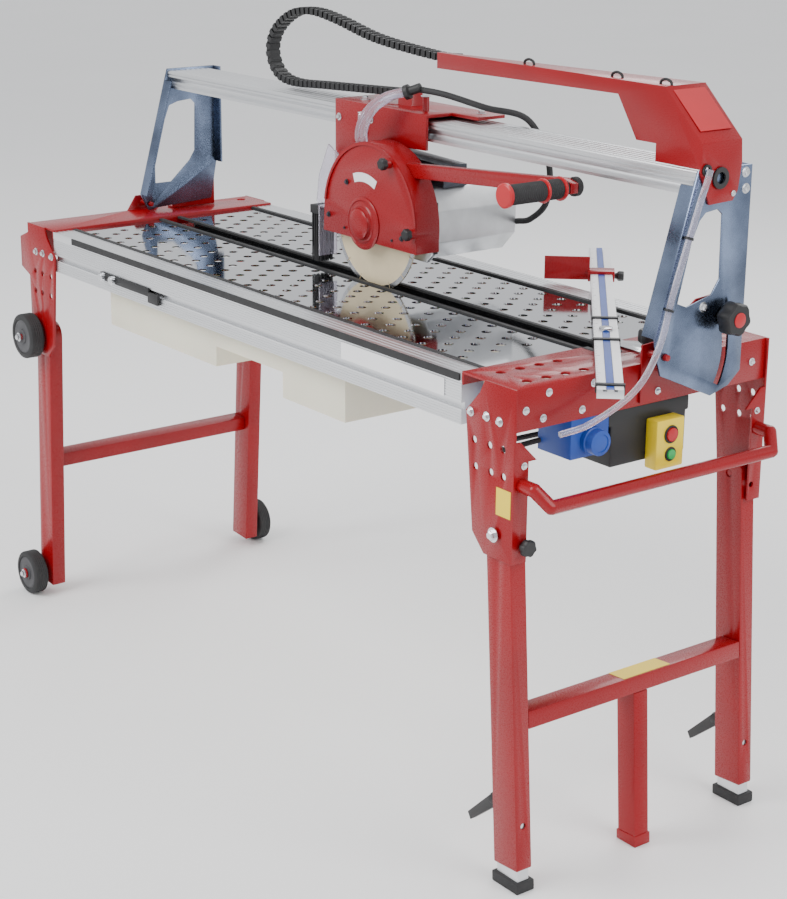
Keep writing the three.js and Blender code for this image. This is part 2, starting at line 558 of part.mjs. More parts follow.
function carriageBody() {
  const rear = BRIDGE_RAIL_REAR;
  const side = [[CARRIAGE_LEFT, 1114], [160, 1114], [160, 1052], [-30, 1046], [-48, 998], [-100, 990],
    [CARRIAGE_LEFT, 1000]];
  const front = plateXZ(side, BRIDGE_RAIL_Y - 11, BRIDGE_RAIL_Y - 5);
  const back = plateXZ(side, rear + 5, rear + 11);
  const top = box(CARRIAGE_LEFT, 160, BRIDGE_RAIL_Y - 11, rear + 11,
    BRIDGE_RAIL_TOP + 6, BRIDGE_RAIL_TOP + 12);
  const wing = box(150, 232, 96, rear + 11, BRIDGE_RAIL_TOP + 6, BRIDGE_RAIL_TOP + 12);
  const pin = rod("y", 7, BRIDGE_RAIL_Y - 10, rear + 10, HEAD_PIVOT_X, HEAD_PIVOT_Z, 16);
  const adjuster = rod("z", 6, BRIDGE_RAIL_TOP + 8, BRIDGE_RAIL_TOP + 38, 120, 70, 12);
  const bracket = box(20, 60, 84, 116, BRIDGE_RAIL_TOP + 8, BRIDGE_RAIL_TOP + 40);
  return join(front, back, top, wing, pin, adjuster, bracket);
}

const ROLLER_PLACES = [-90, 140];

// The front rollers' shared shaft holder, running in the rail's grooved side.
function carriageRollers() {
  const y0 = BRIDGE_RAIL_Y - 4.5;
  const z = RAIL_LOW + 17.5;
  const strip = box(ROLLER_PLACES[0] - 8, ROLLER_PLACES[1] + 8, y0, y0 + 3.5, z - 5, z + 5);
  const discs = ROLLER_PLACES.map((x) => rod("y", 6, y0 + 1, BRIDGE_RAIL_Y + 6, x, z, 16));
  return join(strip, ...discs);
}

const CHAIN_HALF = 6.5;

// The drag chain hangs in one plane behind the arm, from the arm's tip down to the carriage's bracket.
function dragChain() {
  const way = [[ARM_LEFT - 7, 1209], [111, 1208], [-57, 1222], [-181, 1246], [-263, 1256],
    [-330, 1247], [-389, 1212], [-408, 1170], [-386, 1132], [-332, 1117], [-214, 1122], [19, 1134]];
  const curve = new THREE.CatmullRomCurve3(way.map(([x, z]) => new THREE.Vector3(x, z, 0)));
  const steps = 44;
  const sides = [1, -1].map((side) => Array.from({ length: steps + 1 }, (_, i) => {
    const p = curve.getPointAt(i / steps);
    const t = curve.getTangentAt(i / steps);
    return [p.x - t.y * CHAIN_HALF * side, p.y + t.x * CHAIN_HALF * side];
  }));
  return plateXZ([...sides[0], ...sides[1].reverse()], 87, 113);
}

// ---- head ----
const MOTOR_Y = GUARD_HALF + GAP;
const SHAFT_R = 12;

function headArm() {
  const outlineXZ = [...arc(HEAD_PIVOT_X, HEAD_PIVOT_Z, 18, 90, 270, 10), [40, MOTOR_TOP + GAP],
    [170, MOTOR_TOP + GAP], [170, 1024], [0, 1030]];
  const body = plateXZ(outlineXZ, 72, 124);
  const hollow = box(-40, 150, 78, 118, 960, 1018);
  return cut(body, hollow, rod("y", 7.4, 60, 140, HEAD_PIVOT_X, HEAD_PIVOT_Z, 20));
}

const MOTOR_TOP = 985;
const MOTOR_LOW = 862;

function motor() {
  const casing = (x0, x1, low, high, c) => [[x0 + c, low], [x1 - c, low], [x1, low + c], [x1, high - c],
    [x1 - c, high], [x0 + c, high], [x0, high - c], [x0, low + c]];
  const plate = plateXZ(casing(22, 204, MOTOR_LOW - 2, MOTOR_TOP, 20), MOTOR_Y, MOTOR_Y + 8);
  const body = plateXZ(casing(76, 200, MOTOR_LOW, MOTOR_TOP, 34), MOTOR_Y + 7, 214);
  const cover = plateXZ(casing(84, 192, MOTOR_LOW + 8, MOTOR_TOP - 8, 32), 212, 222);
  return cut(join(plate, body, cover), rod("y", SHAFT_R + 2, MOTOR_Y - 1, MOTOR_Y + 5, BLADE_X, BLADE_Z, 20));
}

const GUARD_X = BLADE_X + 14;
const GUARD_Z = BLADE_Z + 10;
const GUARD_LEFT = GUARD_X - GUARD_R - 2;
const GUARD_RIGHT = GUARD_X + GUARD_R - 1;
const GUARD_LOW = BLADE_Z - 29;
const GUARD_SHEET = 3;
const GUARD_KNOBS = [[GUARD_X + 60, GUARD_Z + GUARD_R - 29], [GUARD_RIGHT - 7, GUARD_Z - 3]];

function bladeGuard() {
  const shell = (inset, low) => [[GUARD_LEFT + inset, low],
    ...arc(GUARD_X, GUARD_Z, GUARD_R - inset, 172, -8, 26), [GUARD_RIGHT - inset, low]];
  const outer = plateXZ(shell(0, GUARD_LOW), -GUARD_HALF, GUARD_HALF);
  const inner = plateXZ(shell(GUARD_SHEET, GUARD_LOW - 6),
    -GUARD_HALF + GUARD_SHEET, GUARD_HALF - GUARD_SHEET);
  const shaftHole = rod("y", 20, GUARD_HALF - 5, GUARD_HALF + 1, BLADE_X, BLADE_Z, 20);
  const ring = rod("y", 42, -GUARD_HALF - 4, -GUARD_HALF + 1, BLADE_X, BLADE_Z, 28);
  const dome = rod("y", 18, -GUARD_HALF - 12, -GUARD_HALF - 3, BLADE_X, BLADE_Z, 24, 26);
  const knobs = GUARD_KNOBS.map(([x, z]) => rod("y", 9, -GUARD_HALF - 14, -GUARD_HALF + 1, x, z, 12));
  return cut(join(outer, ring, dome, ...knobs), inner, shaftHole);
}

function blade() {
  return cut(rod("y", BLADE_R, -BLADE_THICK / 2, BLADE_THICK / 2, BLADE_X, BLADE_Z, 64),
    rod("y", SHAFT_R + 0.7, -5, 5, BLADE_X, BLADE_Z, 24));
}

function bladeFlange() {
  const face = BLADE_THICK / 2 + GAP;
  return join(rod("y", 30, -face - 6, -face, BLADE_X, BLADE_Z, 24),
    rod("y", 30, face, face + 6, BLADE_X, BLADE_Z, 24),
    rod("y", SHAFT_R, -face - 12, GUARD_HALF + 2, BLADE_X, BLADE_Z, 24));
}

const GRIP_X = 575;
const GRIP_Z = 1053;
const GRIP_NEAR = -130;
const GRIP_FAR = 20;
const BAR_HALF = 8;

// The bar's root is hollowed to sit on the guard's round shoulder.
function handleBar() {
  const bar = plateXZ([[120, 1008], [120, 1032], [GRIP_X - 6, GRIP_Z + 14], [GRIP_X + 14, GRIP_Z + 8],
    [GRIP_X + 14, GRIP_Z - 8], [GRIP_X - 6, GRIP_Z - 12]], -BAR_HALF, BAR_HALF);
  const guardRoom = rod("y", GUARD_R + GAP, -30, 30, GUARD_X, GUARD_Z, 96);
  const below = box(100, GUARD_RIGHT + GAP, -30, 30, 900, 1005);
  return cut(bar, guardRoom, below, rod("y", 8.3, -BAR_HALF - 1, BAR_HALF + 1, GRIP_X, GRIP_Z, 16));
}

function handleGrip() {
  const rings = [0.62, 0.82].map((share) => {
    const y = GRIP_NEAR + (-BAR_HALF - GRIP_NEAR) * share;
    return rod("y", 19, y, y + 4, GRIP_X, GRIP_Z, 20);
  });
  return join(rod("y", 8, -BAR_HALF - 5, BAR_HALF + 5, GRIP_X, GRIP_Z, 16),
    rod("y", 16, GRIP_NEAR, -BAR_HALF - GAP, GRIP_X, GRIP_Z, 20),
    rod("y", 20, GRIP_NEAR - 4, GRIP_NEAR + 4, GRIP_X, GRIP_Z, 20),
    rod("y", 16, BAR_HALF + GAP, GRIP_FAR, GRIP_X, GRIP_Z, 20), ...rings);
}

function returnSpring() {
  return rod("z", 6.5, 1052, 1104, -20, 31.5, 12);
}

function splashGuard() {
  return join(box(GUARD_LEFT - 24, GUARD_LEFT - GAP, -20, 20, 924, 927),
    box(GUARD_LEFT - 24, GUARD_LEFT - 21, -20, 20, 832, 926));
}

function brush() {
  return box(GUARD_LEFT - 54, GUARD_LEFT - 24 - GAP, -18, 18, 820, 924);
}

// ---- ruler: drawn along +X from its far end, then turned into place ----
const RULER_FAR = [HALF_L - 616, 467];
const RULER_DIRECTION = Math.atan2(-658, 738);
const RULER_LOW = TABLE_TOP + GAP + 3 + GAP;
const RULER_TOP = RULER_LOW + RULER_HEIGHT - 3;
const RULER_PIVOT = 642;         // from the far end
const STOP_PLACE = 221;

function onRuler(shape) {
  const turn = new THREE.Matrix4().makeRotationZ(RULER_DIRECTION);
  const there = new THREE.Matrix4().makeTranslation(RULER_FAR[0], RULER_FAR[1], 0);
  return moved(shape, there.multiply(turn));
}

function rulerBar() {
  const half = RULER_WIDTH / 2;
  const bar = box(0, RULER_LENGTH, -half, half, RULER_LOW, RULER_TOP);
  const grooves = [-half + 9, half - 15].map((y) =>
    box(-1, RULER_LENGTH + 1, y, y + 6, RULER_TOP - 3, RULER_TOP + 1));
  return onRuler(cut(bar, ...grooves, rod("z", 5.6, RULER_LOW - 1, RULER_TOP + 1, RULER_PIVOT, 0, 16)));
}

function rulerPivot() {
  const along = new THREE.Vector2(Math.cos(RULER_DIRECTION), Math.sin(RULER_DIRECTION));
  along.multiplyScalar(RULER_PIVOT);
  return [RULER_FAR[0] + along.x, RULER_FAR[1] + along.y];
}

function protractor() {
  const [px, py] = rulerPivot();
  const low = TABLE_TOP + GAP;
  const plate = plateXY([...arc(HALF_L - 61, 26, 56, 0, 180, 16)], low, low + 3);
  const arm = box(px - 16, HALF_L - 61, 26, py + 16, low, low + 3);
  const pin = rod("z", 5, low + 1, RULER_TOP + 4, px, py, 16);
  return join(plate, arm, pin, rod("z", 11, RULER_TOP + GAP, RULER_TOP + 5, px, py, 16));
}

function gaugeKnob() {
  const low = TABLE_TOP + GAP + 3 + GAP;
  const x = HALF_L - 51;
  return join(rod("z", 8, low, low + 12, x, 52, 14), rod("z", 18, low + 10, low + 30, x, 52, 20));
}

function stopArm() {
  const half = RULER_WIDTH / 2 + GAP;
  const saddle = box(STOP_PLACE - 16, STOP_PLACE + 16, -half - 4, half + 4, RULER_TOP + GAP, RULER_TOP + 6);
  const near = box(STOP_PLACE - 16, STOP_PLACE + 16, -half - 4, -half, RULER_LOW, RULER_TOP + 3);
  const far = box(STOP_PLACE - 16, STOP_PLACE + 16, half, half + 4, RULER_LOW, RULER_TOP + 3);
  const fence = box(STOP_PLACE - 2, STOP_PLACE + 2, -half - 82, -half - 1, RULER_LOW, RULER_LOW + 42);
  return onRuler(join(saddle, near, far, fence));
}

function stopKnob() {
  const face = RULER_WIDTH / 2 + GAP + 4 + GAP;
  return onRuler(rod("y", 9, face, face + 16, STOP_PLACE, RULER_LOW + 8, 16));
}

// ---- the whole saw ----
place("front_rail", frontRail(), ALUMINIUM);
place("rear_rail", acrossY(frontRail()), ALUMINIUM);
place("front_panel", panel(SLOT_FRONT), STEEL);
place("rear_panel", acrossY(panel(SLOT_REAR)), STEEL);
place("left_end_beam", leftEndBeam(), RED);
place("right_end_plate", rightEndPlate(), RED);
place("water_tray", waterTray(), CREAM);
place("pump", pump(), BLACK);
const shortPin = -BRACKET_OUT - 5;
place("bracket_right_front", rightFrontBracket(shortPin), RED);
place("bracket_right_rear", acrossY(rightFrontBracket(shortPin)), RED);
place("bracket_left_front", leftFrontBracket(), RED);
place("bracket_left_rear", acrossY(leftFrontBracket()), RED);
place("right_front_lock", lockKnob(), BLACK);
place("right_front_post", rightFrontPost(), RED);
place("right_rear_post", acrossY(rightFrontPost()), RED);
place("right_crossbar", rightCrossbar(), RED);
place("right_centre_leg", centreLeg(), RED);
place("right_front_foot", foot(), STEEL);
place("right_rear_foot", acrossY(foot()), STEEL);
place("right_front_foot_lever", footLever(), BLACK);
place("right_rear_foot_lever", acrossY(footLever()), BLACK);
place("left_front_post", leftPost(), RED);
place("left_rear_post", acrossY(leftPost()), RED);
place("left_crossbar", leftCrossbar(), RED);
place("wheel_low_front", wheel(-LOW_WHEEL_X, WHEEL_R), GREY);
place("wheel_low_rear", acrossY(wheel(-LOW_WHEEL_X, WHEEL_R)), GREY);
place("wheel_high_front", wheel(-HIGH_WHEEL_X, LEG_PIVOT_Z), GREY);
place("wheel_high_rear", acrossY(wheel(-HIGH_WHEEL_X, LEG_PIVOT_Z)), GREY);
place("control_box", controlBox(), BLACK);
place("switch_housing", switchHousing(), YELLOW);
place("stop_button", button(BUTTONS.stop), RED);
place("start_button", button(BUTTONS.start), GREEN);
place("power_inlet", powerInlet(), BLUE);
place("lift_handle", liftHandle(), RED);
place("left_tilt_quadrant", leftQuadrant(), RED);
place("right_tilt_quadrant", rightQuadrant(), RED);
place("right_tilt_knob", rightTiltKnob(), BLACK);
place("left_upright", leftUpright(), ZINC);
place("right_upright", rightUpright(), ZINC);
place("bridge_rail", bridgeRail(), ALUMINIUM);
place("cable_arm", cableArm(), RED);
place("supply_hose", supplyHose(), CLEAR);
place("carriage_body", carriageBody(), RED);
place("carriage_rollers", carriageRollers(), STEEL);
place("drag_chain", dragChain(), BLACK);
place("head_arm", headArm(), GREY);
place("motor", motor(), ALUMINIUM);
place("blade_guard", bladeGuard(), RED);
place("blade", blade(), IVORY);
place("blade_flange", bladeFlange(), STEEL);
place("handle_bar", handleBar(), RED);
place("handle_grip", handleGrip(), BLACK);
place("return_spring", returnSpring(), STEEL);
place("splash_guard", splashGuard(), CLEAR);
place("brush", brush(), BLACK);
place("ruler_bar", rulerBar(), ALUMINIUM);
place("protractor", protractor(), STEEL);
place("gauge_knob", gaugeKnob(), BLACK);
place("stop_arm", stopArm(), RED);
place("stop_knob", stopKnob(), BLACK);

const middle = new THREE.Box3().setFromObject(saw).getCenter(new THREE.Vector3());
saw.position.set(-middle.x, -middle.y, 0);

export default saw;
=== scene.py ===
"""Looks of the bridge tile saw: skins for its sheet metal, extrusions, hoses, chain and small fittings."""
import json
import math

import bmesh
import bpy
from mathutils import Matrix, Vector


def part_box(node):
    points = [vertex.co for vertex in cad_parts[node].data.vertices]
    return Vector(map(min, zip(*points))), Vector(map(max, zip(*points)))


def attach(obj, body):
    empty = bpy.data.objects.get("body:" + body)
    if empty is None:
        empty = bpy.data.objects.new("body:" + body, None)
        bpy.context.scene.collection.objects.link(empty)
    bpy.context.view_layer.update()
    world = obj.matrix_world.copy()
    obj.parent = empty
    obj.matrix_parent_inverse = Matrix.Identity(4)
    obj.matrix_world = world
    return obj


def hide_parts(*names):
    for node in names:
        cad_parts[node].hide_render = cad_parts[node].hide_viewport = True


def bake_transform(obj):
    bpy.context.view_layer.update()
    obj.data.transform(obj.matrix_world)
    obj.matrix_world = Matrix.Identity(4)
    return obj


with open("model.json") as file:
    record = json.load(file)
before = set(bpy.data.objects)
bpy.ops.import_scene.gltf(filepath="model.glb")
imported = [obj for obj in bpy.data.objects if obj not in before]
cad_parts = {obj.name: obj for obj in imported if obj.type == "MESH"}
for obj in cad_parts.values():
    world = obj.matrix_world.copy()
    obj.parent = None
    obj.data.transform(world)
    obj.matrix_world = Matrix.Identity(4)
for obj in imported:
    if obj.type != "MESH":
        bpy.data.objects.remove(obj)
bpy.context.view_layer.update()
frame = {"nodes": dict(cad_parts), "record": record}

RECORD = frame["record"]
BODIES = RECORD["behaviour"]["bodies"]
BODY_OF = {node: body for body, nodes in BODIES.items() for node in nodes}
SLOT_OF = {row["node"]: row["material_slot"] for row in RECORD["subparts"]}

# Places are given in millimetres from the floor point under the middle of the table.
TABLE_LOW, TABLE_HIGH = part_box("left_end_beam")[0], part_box("right_end_plate")[1]
MIDDLE_X = (TABLE_LOW[0] + TABLE_HIGH[0]) / 2
MIDDLE_Y = (TABLE_LOW[1] + TABLE_HIGH[1]) / 2


def at(x, y, z):
    return Vector((x / 1000 + MIDDLE_X, y / 1000 + MIDDLE_Y, z / 1000))


def node_box(node):
    """A node's low and high corners in the table's millimetres."""
    low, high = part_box(node)
    offset = (MIDDLE_X, MIDDLE_Y, 0)
    return tuple(tuple((corner[i] - offset[i]) * 1000 for i in range(3)) for corner in (low, high))


# ---- camera ----
CAMERA_PLACE = (2837.5, -2047.6, 1590.0)
CAMERA_TURN = math.radians(52.9484)
CAMERA_DROP = math.radians(17.6875)
CAMERA_ROLL = math.radians(0.4083)
LENS = 78.33


def make_camera():
    data = bpy.data.cameras.new("camera")
    data.lens = LENS
    data.sensor_width = 36
    camera = bpy.data.objects.new("camera", data)
    bpy.context.scene.collection.objects.link(camera)
    camera.location = at(*CAMERA_PLACE)
    turn = Matrix.Rotation(CAMERA_TURN, 4, "Z")
    tip = Matrix.Rotation(math.pi / 2 - CAMERA_DROP, 4, "X")
    roll = Matrix.Rotation(CAMERA_ROLL, 4, "Z")
    camera.rotation_euler = (turn @ tip @ roll).to_euler()
    bpy.context.scene.camera = camera


make_camera()


# ---- materials ----
def link_noise(tree, scale, stretch=(1, 1, 1), detail=4.0):
    coords = tree.nodes.new("ShaderNodeTexCoord")
    mapping = tree.nodes.new("ShaderNodeMapping")
    mapping.inputs["Scale"].default_value = stretch
    noise = tree.nodes.new("ShaderNodeTexNoise")
    noise.inputs["Scale"].default_value = scale
    noise.inputs["Detail"].default_value = detail
    tree.links.new(coords.outputs["Object"], mapping.inputs["Vector"])
    tree.links.new(mapping.outputs["Vector"], noise.inputs["Vector"])
    return noise


def surface(name, colour, rough, metal=0.0, spread=0.12, cloud=9.0, grain=420.0, stretch=(1, 1, 1), bump=0.05,
            rough_spread=0.06, **sockets):
    """A finish whose colour drifts in soft clouds, with fine grain in its roughness and height."""
    made = bpy.data.materials.new(name)
    made.use_nodes = True
    tree = made.node_tree
    shader = tree.nodes["Principled BSDF"]
    shader.inputs["Metallic"].default_value = metal
    for key, value in sockets.items():
        shader.inputs[key.replace("_", " ")].default_value = value
    clouds = link_noise(tree, cloud, stretch)
    ramp = tree.nodes.new("ShaderNodeValToRGB")
    for stop, (place, gain) in zip(ramp.color_ramp.elements, ((0.3, 1 - spread), (0.7, 1 + spread))):
        stop.position = place
        stop.color = tuple(min(1.0, c * gain) for c in colour) + (1,)
    tree.links.new(clouds.outputs["Fac"], ramp.inputs["Fac"])
    tree.links.new(ramp.outputs["Color"], shader.inputs["Base Color"])
    fine = link_noise(tree, grain, stretch, 2.0)
    band = tree.nodes.new("ShaderNodeMapRange")
    band.inputs["To Min"].default_value = max(0.02, rough - rough_spread)
    band.inputs["To Max"].default_value = rough + rough_spread
    tree.links.new(fine.outputs["Fac"], band.inputs["Value"])
    tree.links.new(band.outputs["Result"], shader.inputs["Roughness"])
    height = tree.nodes.new("ShaderNodeBump")
    height.inputs["Strength"].default_value = bump
    height.inputs["Distance"].default_value = 0.0004
    tree.links.new(fine.outputs["Fac"], height.inputs["Height"])
    tree.links.new(height.outputs["Normal"], shader.inputs["Normal"])
    return made


FINISH = {
    "red_paint": surface("red_paint", (0.27, 0.0025, 0.006), 0.28, spread=0.08, grain=700, bump=0.1,
                         Specular_IOR_Level=0.32, Coat_Weight=0.12, Coat_Roughness=0.08),
    "black_plastic": surface("black_plastic", (0.012, 0.012, 0.013), 0.5, grain=900, bump=0.15),
    "polished_steel": surface("polished_steel", (0.5, 0.51, 0.53), 0.08, 1.0, spread=0.04, cloud=4,
                              grain=260, stretch=(0.1, 1, 1), bump=0.02, rough_spread=0.035),
    "satin_aluminium": surface("satin_aluminium", (0.74, 0.75, 0.765), 0.34, 1.0, spread=0.05, cloud=14,
                               grain=900, stretch=(0.06, 1, 1), bump=0.06),
    "cast_aluminium": surface("cast_aluminium", (0.60, 0.61, 0.62), 0.38, 0.9, spread=0.08, cloud=30,
                              grain=1100, bump=0.25),
    "zinc_plate": surface("zinc_plate", (0.15, 0.19, 0.28), 0.26, 1.0, spread=0.45, cloud=11, grain=300,
                          bump=0.04, rough_spread=0.12),
    "cream_plastic": surface("cream_plastic", (0.80, 0.745, 0.60), 0.5, spread=0.05, cloud=5, grain=500,
                             bump=0.08, Subsurface_Weight=0.08),
    "clear_plastic": surface("clear_plastic", (0.83, 0.79, 0.90), 0.12, spread=0.06, cloud=25, grain=200,
                             bump=0.02, Transmission_Weight=0.82, IOR=1.42),
    "blue_plastic": surface("blue_plastic", (0.012, 0.06, 0.34), 0.42, grain=800, bump=0.1),
    "yellow_plastic": surface("yellow_plastic", (0.85, 0.62, 0.02), 0.38, spread=0.06, grain=800, bump=0.08),
    "green_plastic": surface("green_plastic", (0.02, 0.42, 0.10), 0.3, spread=0.08, grain=600),
    "red_plastic": surface("red_plastic", (0.45, 0.008, 0.014), 0.36, spread=0.08, grain=600),
    "grey_rubber": surface("grey_rubber", (0.075, 0.075, 0.08), 0.72, spread=0.2, cloud=40, grain=900, bump=0.3),
    "black_rubber": surface("black_rubber", (0.018, 0.018, 0.019), 0.66, spread=0.2, cloud=50, grain=900,
                            bump=0.35),
    "ivory_steel": surface("ivory_steel", (0.78, 0.66, 0.44), 0.36, 0.25, spread=0.07, cloud=16, grain=350),
    "white_print": surface("white_print", (0.86, 0.86, 0.87), 0.3, spread=0.03, grain=500, bump=0.02),
    "bright_zinc": surface("bright_zinc", (0.70, 0.71, 0.73), 0.22, 1.0, spread=0.1, cloud=60, grain=700),
    "dark_steel": surface("dark_steel", (0.07, 0.075, 0.09), 0.36, 0.85, spread=0.2, cloud=20, grain=500),
}


def settle(obj, finish, body, replaced=()):
    """Gives a piece its finish and its body, and hides the nodes it stands for."""
    obj.data.materials.clear()
    obj.data.materials.append(FINISH[finish])
    if body:
        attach(obj, body)
    if replaced:
        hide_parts(*replaced)
    return obj


# ---- mesh tools ----
SMOOTH_ANGLE = math.radians(34)


def add(name, mesh):
    obj = bpy.data.objects.new(name, mesh)
    bpy.context.scene.collection.objects.link(obj)
    return obj


def shade(mesh):
    work = bmesh.new()
    work.from_mesh(mesh)
    for face in work.faces:
        face.smooth = True
    for edge in work.edges:
        edge.smooth = len(edge.link_faces) == 2 and edge.calc_face_angle(0) < SMOOTH_ANGLE
    work.to_mesh(mesh)
    work.free()


def from_bmesh(name, work):
    bmesh.ops.remove_doubles(work, verts=work.verts, dist=1e-6)
    bmesh.ops.recalc_face_normals(work, faces=work.faces)
    mesh = bpy.data.meshes.new(name)
    work.to_mesh(mesh)
    work.free()
    shade(mesh)
    return add(name, mesh)


def bevelled(obj, width, segments=2):
    if width:
        bevel = obj.modifiers.new("bevel", "BEVEL")
        bevel.width = width
        bevel.segments = segments
        bevel.limit_method = "ANGLE"
        bevel.angle_limit = math.radians(32)
        bevel.use_clamp_overlap = True
        graph = bpy.context.evaluated_depsgraph_get()
        mesh = bpy.data.meshes.new_from_object(obj.evaluated_get(graph))
        obj.modifiers.clear()
        obj.data = mesh
    shade(obj.data)
    return obj


def skin(node, finish=None, width=0.0012, segments=2):
    """The node's own shape with folded, rounded edges in place of sharp ones."""
    work = bmesh.new()
    work.from_mesh(frame["nodes"][node].data)
    bmesh.ops.remove_doubles(work, verts=work.verts, dist=2e-6)
    bmesh.ops.dissolve_limit(work, angle_limit=math.radians(0.8), verts=work.verts, edges=work.edges)
    mesh = bpy.data.meshes.new(node + "_skin")
    work.to_mesh(mesh)
    work.free()
    obj = bevelled(add(node + "_skin", mesh), width, segments)
    return settle(obj, finish or SLOT_OF[node], BODY_OF[node], [node])


def prism(work, outline, place, a, b):
    """Extrudes an outline of (u, v) pairs between a and b; place turns (u, v, w) into a point."""
    low = [work.verts.new(place(u, v, a)) for u, v in outline]
    high = [work.verts.new(place(u, v, b)) for u, v in outline]
    work.faces.new(low)
    work.faces.new(list(reversed(high)))
    for i in range(len(outline)):
        j = (i + 1) % len(outline)
        work.faces.new((low[i], high[i], high[j], low[j]))


def along_x(u, v, w):
    return at(w, u, v)


def along_y(u, v, w):
    return at(u, w, v)


def along_z(u, v, w):
    return at(u, v, w)


def block(work, x0, x1, y0, y1, z0, z1):
    prism(work, [(x0, y0), (x1, y0), (x1, y1), (x0, y1)], along_z, z0, z1)


def basis(axis):
    axis = Vector(axis).normalized()
    side = axis.orthogonal().normalized()
    return side, axis.cross(side), axis


def lathe(work, profile, centre, axis, segments=32, lobes=0, lobe_depth=0.0):
    """Turns a profile of (radius, height) pairs about an axis; lobes flute the outside."""
    side, other, axis = basis(axis)
    centre = at(*centre)
    rings = []
    for radius, height in profile:
        base = centre + axis * (height / 1000)
        if radius < 1e-6:
            rings.append([work.verts.new(base)])
            continue
        ring = []
        for i in range(segments):
            angle = 2 * math.pi * i / segments
            reach = radius * (1 - lobe_depth * (0.5 - 0.5 * math.cos(lobes * angle))) / 1000
            ring.append(work.verts.new(base + side * reach * math.cos(angle) + other * reach * math.sin(angle)))
        rings.append(ring)
    for low, high in zip(rings, rings[1:]):
        for i in range(segments):
            j = (i + 1) % segments
            if len(low) == 1:
                work.faces.new((low[0], high[i], high[j]))
            elif len(high) == 1:
                work.faces.new((low[i], low[j], high[0]))
            else:
                work.faces.new((low[i], low[j], high[j], high[i]))
    closed = profile[0] == profile[-1]
    for ring, flip in ((rings[0], True), (rings[-1], False)):
        if len(ring) > 1 and not closed:
            work.faces.new(reversed(ring) if flip else ring)
    if closed:
        bmesh.ops.remove_doubles(work, verts=rings[0] + rings[-1], dist=1e-7)


def smooth_path(points, steps):
    """Evenly spaced points of a Catmull-Rom curve through the given ones, in millimetres."""
    knots = [Vector(p) for p in points]
    knots = [2 * knots[0] - knots[1]] + knots + [2 * knots[-1] - knots[-2]]
    fine = []
    for k in range(1, len(knots) - 2):
        p0, p1, p2, p3 = knots[k - 1:k + 3]
        for i in range(24):
            t = i / 24
            fine.append(0.5 * (2 * p1 + (p2 - p0) * t + (2 * p0 - 5 * p1 + 4 * p2 - p3) * t * t
                               + (3 * p1 - p0 - 3 * p2 + p3) * t ** 3))
    fine.append(knots[-2])
    gaps = [(b - a).length for a, b in zip(fine, fine[1:])]
    total = sum(gaps)
    out = [fine[0]]
    walked, k = 0.0, 0
    for i in range(1, steps + 1):
        goal = total * i / steps
        while k < len(gaps) - 1 and walked + gaps[k] < goal:
            walked += gaps[k]
            k += 1
        out.append(fine[k].lerp(fine[k + 1], min(1.0, (goal - walked) / max(gaps[k], 1e-9))))
    return out


def tube(work, points, radius, steps=40, sides=14, ribs=0.0):
    """A round hose or wire through the points, with optional ribs every other ring."""
    way = smooth_path(points, steps)
    normal = None
    rings = []
    for i, p in enumerate(way):
        tangent = (way[min(i + 1, steps)] - way[max(i - 1, 0)]).normalized()
        normal = tangent.orthogonal() if normal is None else normal - tangent * normal.dot(tangent)
        normal.normalize()
        other = tangent.cross(normal)
        reach = radius + (ribs if i % 2 else 0)
        ring = []
        for k in range(sides):
            angle = 2 * math.pi * k / sides
            ring.append(work.verts.new(at(*(p + normal * reach * math.cos(angle) + other * reach * math.sin(angle)))))
        rings.append(ring)
    for low, high in zip(rings, rings[1:]):
        for k in range(sides):
            j = (k + 1) % sides
            work.faces.new((low[k], low[j], high[j], high[k]))
    work.faces.new(reversed(rings[0]))
    work.faces.new(rings[-1])
    return way


def bolt_head(work, centre, axis, size=7.0):
    """A flat washer with a domed hexagon head on it."""
    lathe(work, [(0, -0.2), (size * 1.15, -0.2), (size * 1.15, 1.1), (size * 0.75, 1.3), (0, 1.3)], centre, axis, 20)
    side, other, unit = basis(axis)
    top = Vector(centre) + unit * 1.2
    lathe(work, [(0, 0), (size * 0.78, 0), (size * 0.78, size * 0.5), (size * 0.55, size * 0.72), (0, size * 0.78)],
          top, axis, 6)


def bolts(name, body, places, finish="bright_zinc"):
    work = bmesh.new()
    for centre, axis, size in places:
        bolt_head(work, centre, axis, size)
    return settle(from_bmesh(name, work), finish, body)


# ---- sheet metal and castings that keep the frame's own shape ----
PLAIN_SKINS = {
    "left_end_beam": None, "right_end_plate": None, "water_tray": None, "pump": None,
    "bracket_right_front": None, "bracket_right_rear": None, "bracket_left_front": None,
    "bracket_left_rear": None, "right_front_post": None, "right_rear_post": None, "left_front_post": None,
    "left_rear_post": None, "right_crossbar": None, "left_crossbar": None, "right_centre_leg": None,
    "right_front_foot": None, "right_rear_foot": None, "right_front_foot_lever": None,
    "right_rear_foot_lever": None, "control_box": None, "switch_housing": None, "power_inlet": None,
    "left_tilt_quadrant": None, "right_tilt_quadrant": None, "left_upright": None, "right_upright": None,
    "cable_arm": None, "carriage_body": None, "carriage_rollers": None, "head_arm": "dark_steel",
    "blade_guard": None, "handle_bar": None, "splash_guard": None, "blade_flange": None,
    "protractor": None, "stop_arm": None, "start_button": None, "stop_button": None, "lift_handle": None,
}
EDGE_WIDTH = {"water_tray": 0.004, "control_box": 0.003, "switch_housing": 0.003, "lift_handle": 0.0,
              "start_button": 0.001, "stop_button": 0.001, "left_front_post": 0.002, "right_front_post": 0.002,
              "left_rear_post": 0.002, "right_rear_post": 0.002, "right_centre_leg": 0.002,
              "right_crossbar": 0.002, "left_crossbar": 0.002}


def make_skins():
    for node, finish in PLAIN_SKINS.items():
        skin(node, finish, EDGE_WIDTH.get(node, 0.0009))


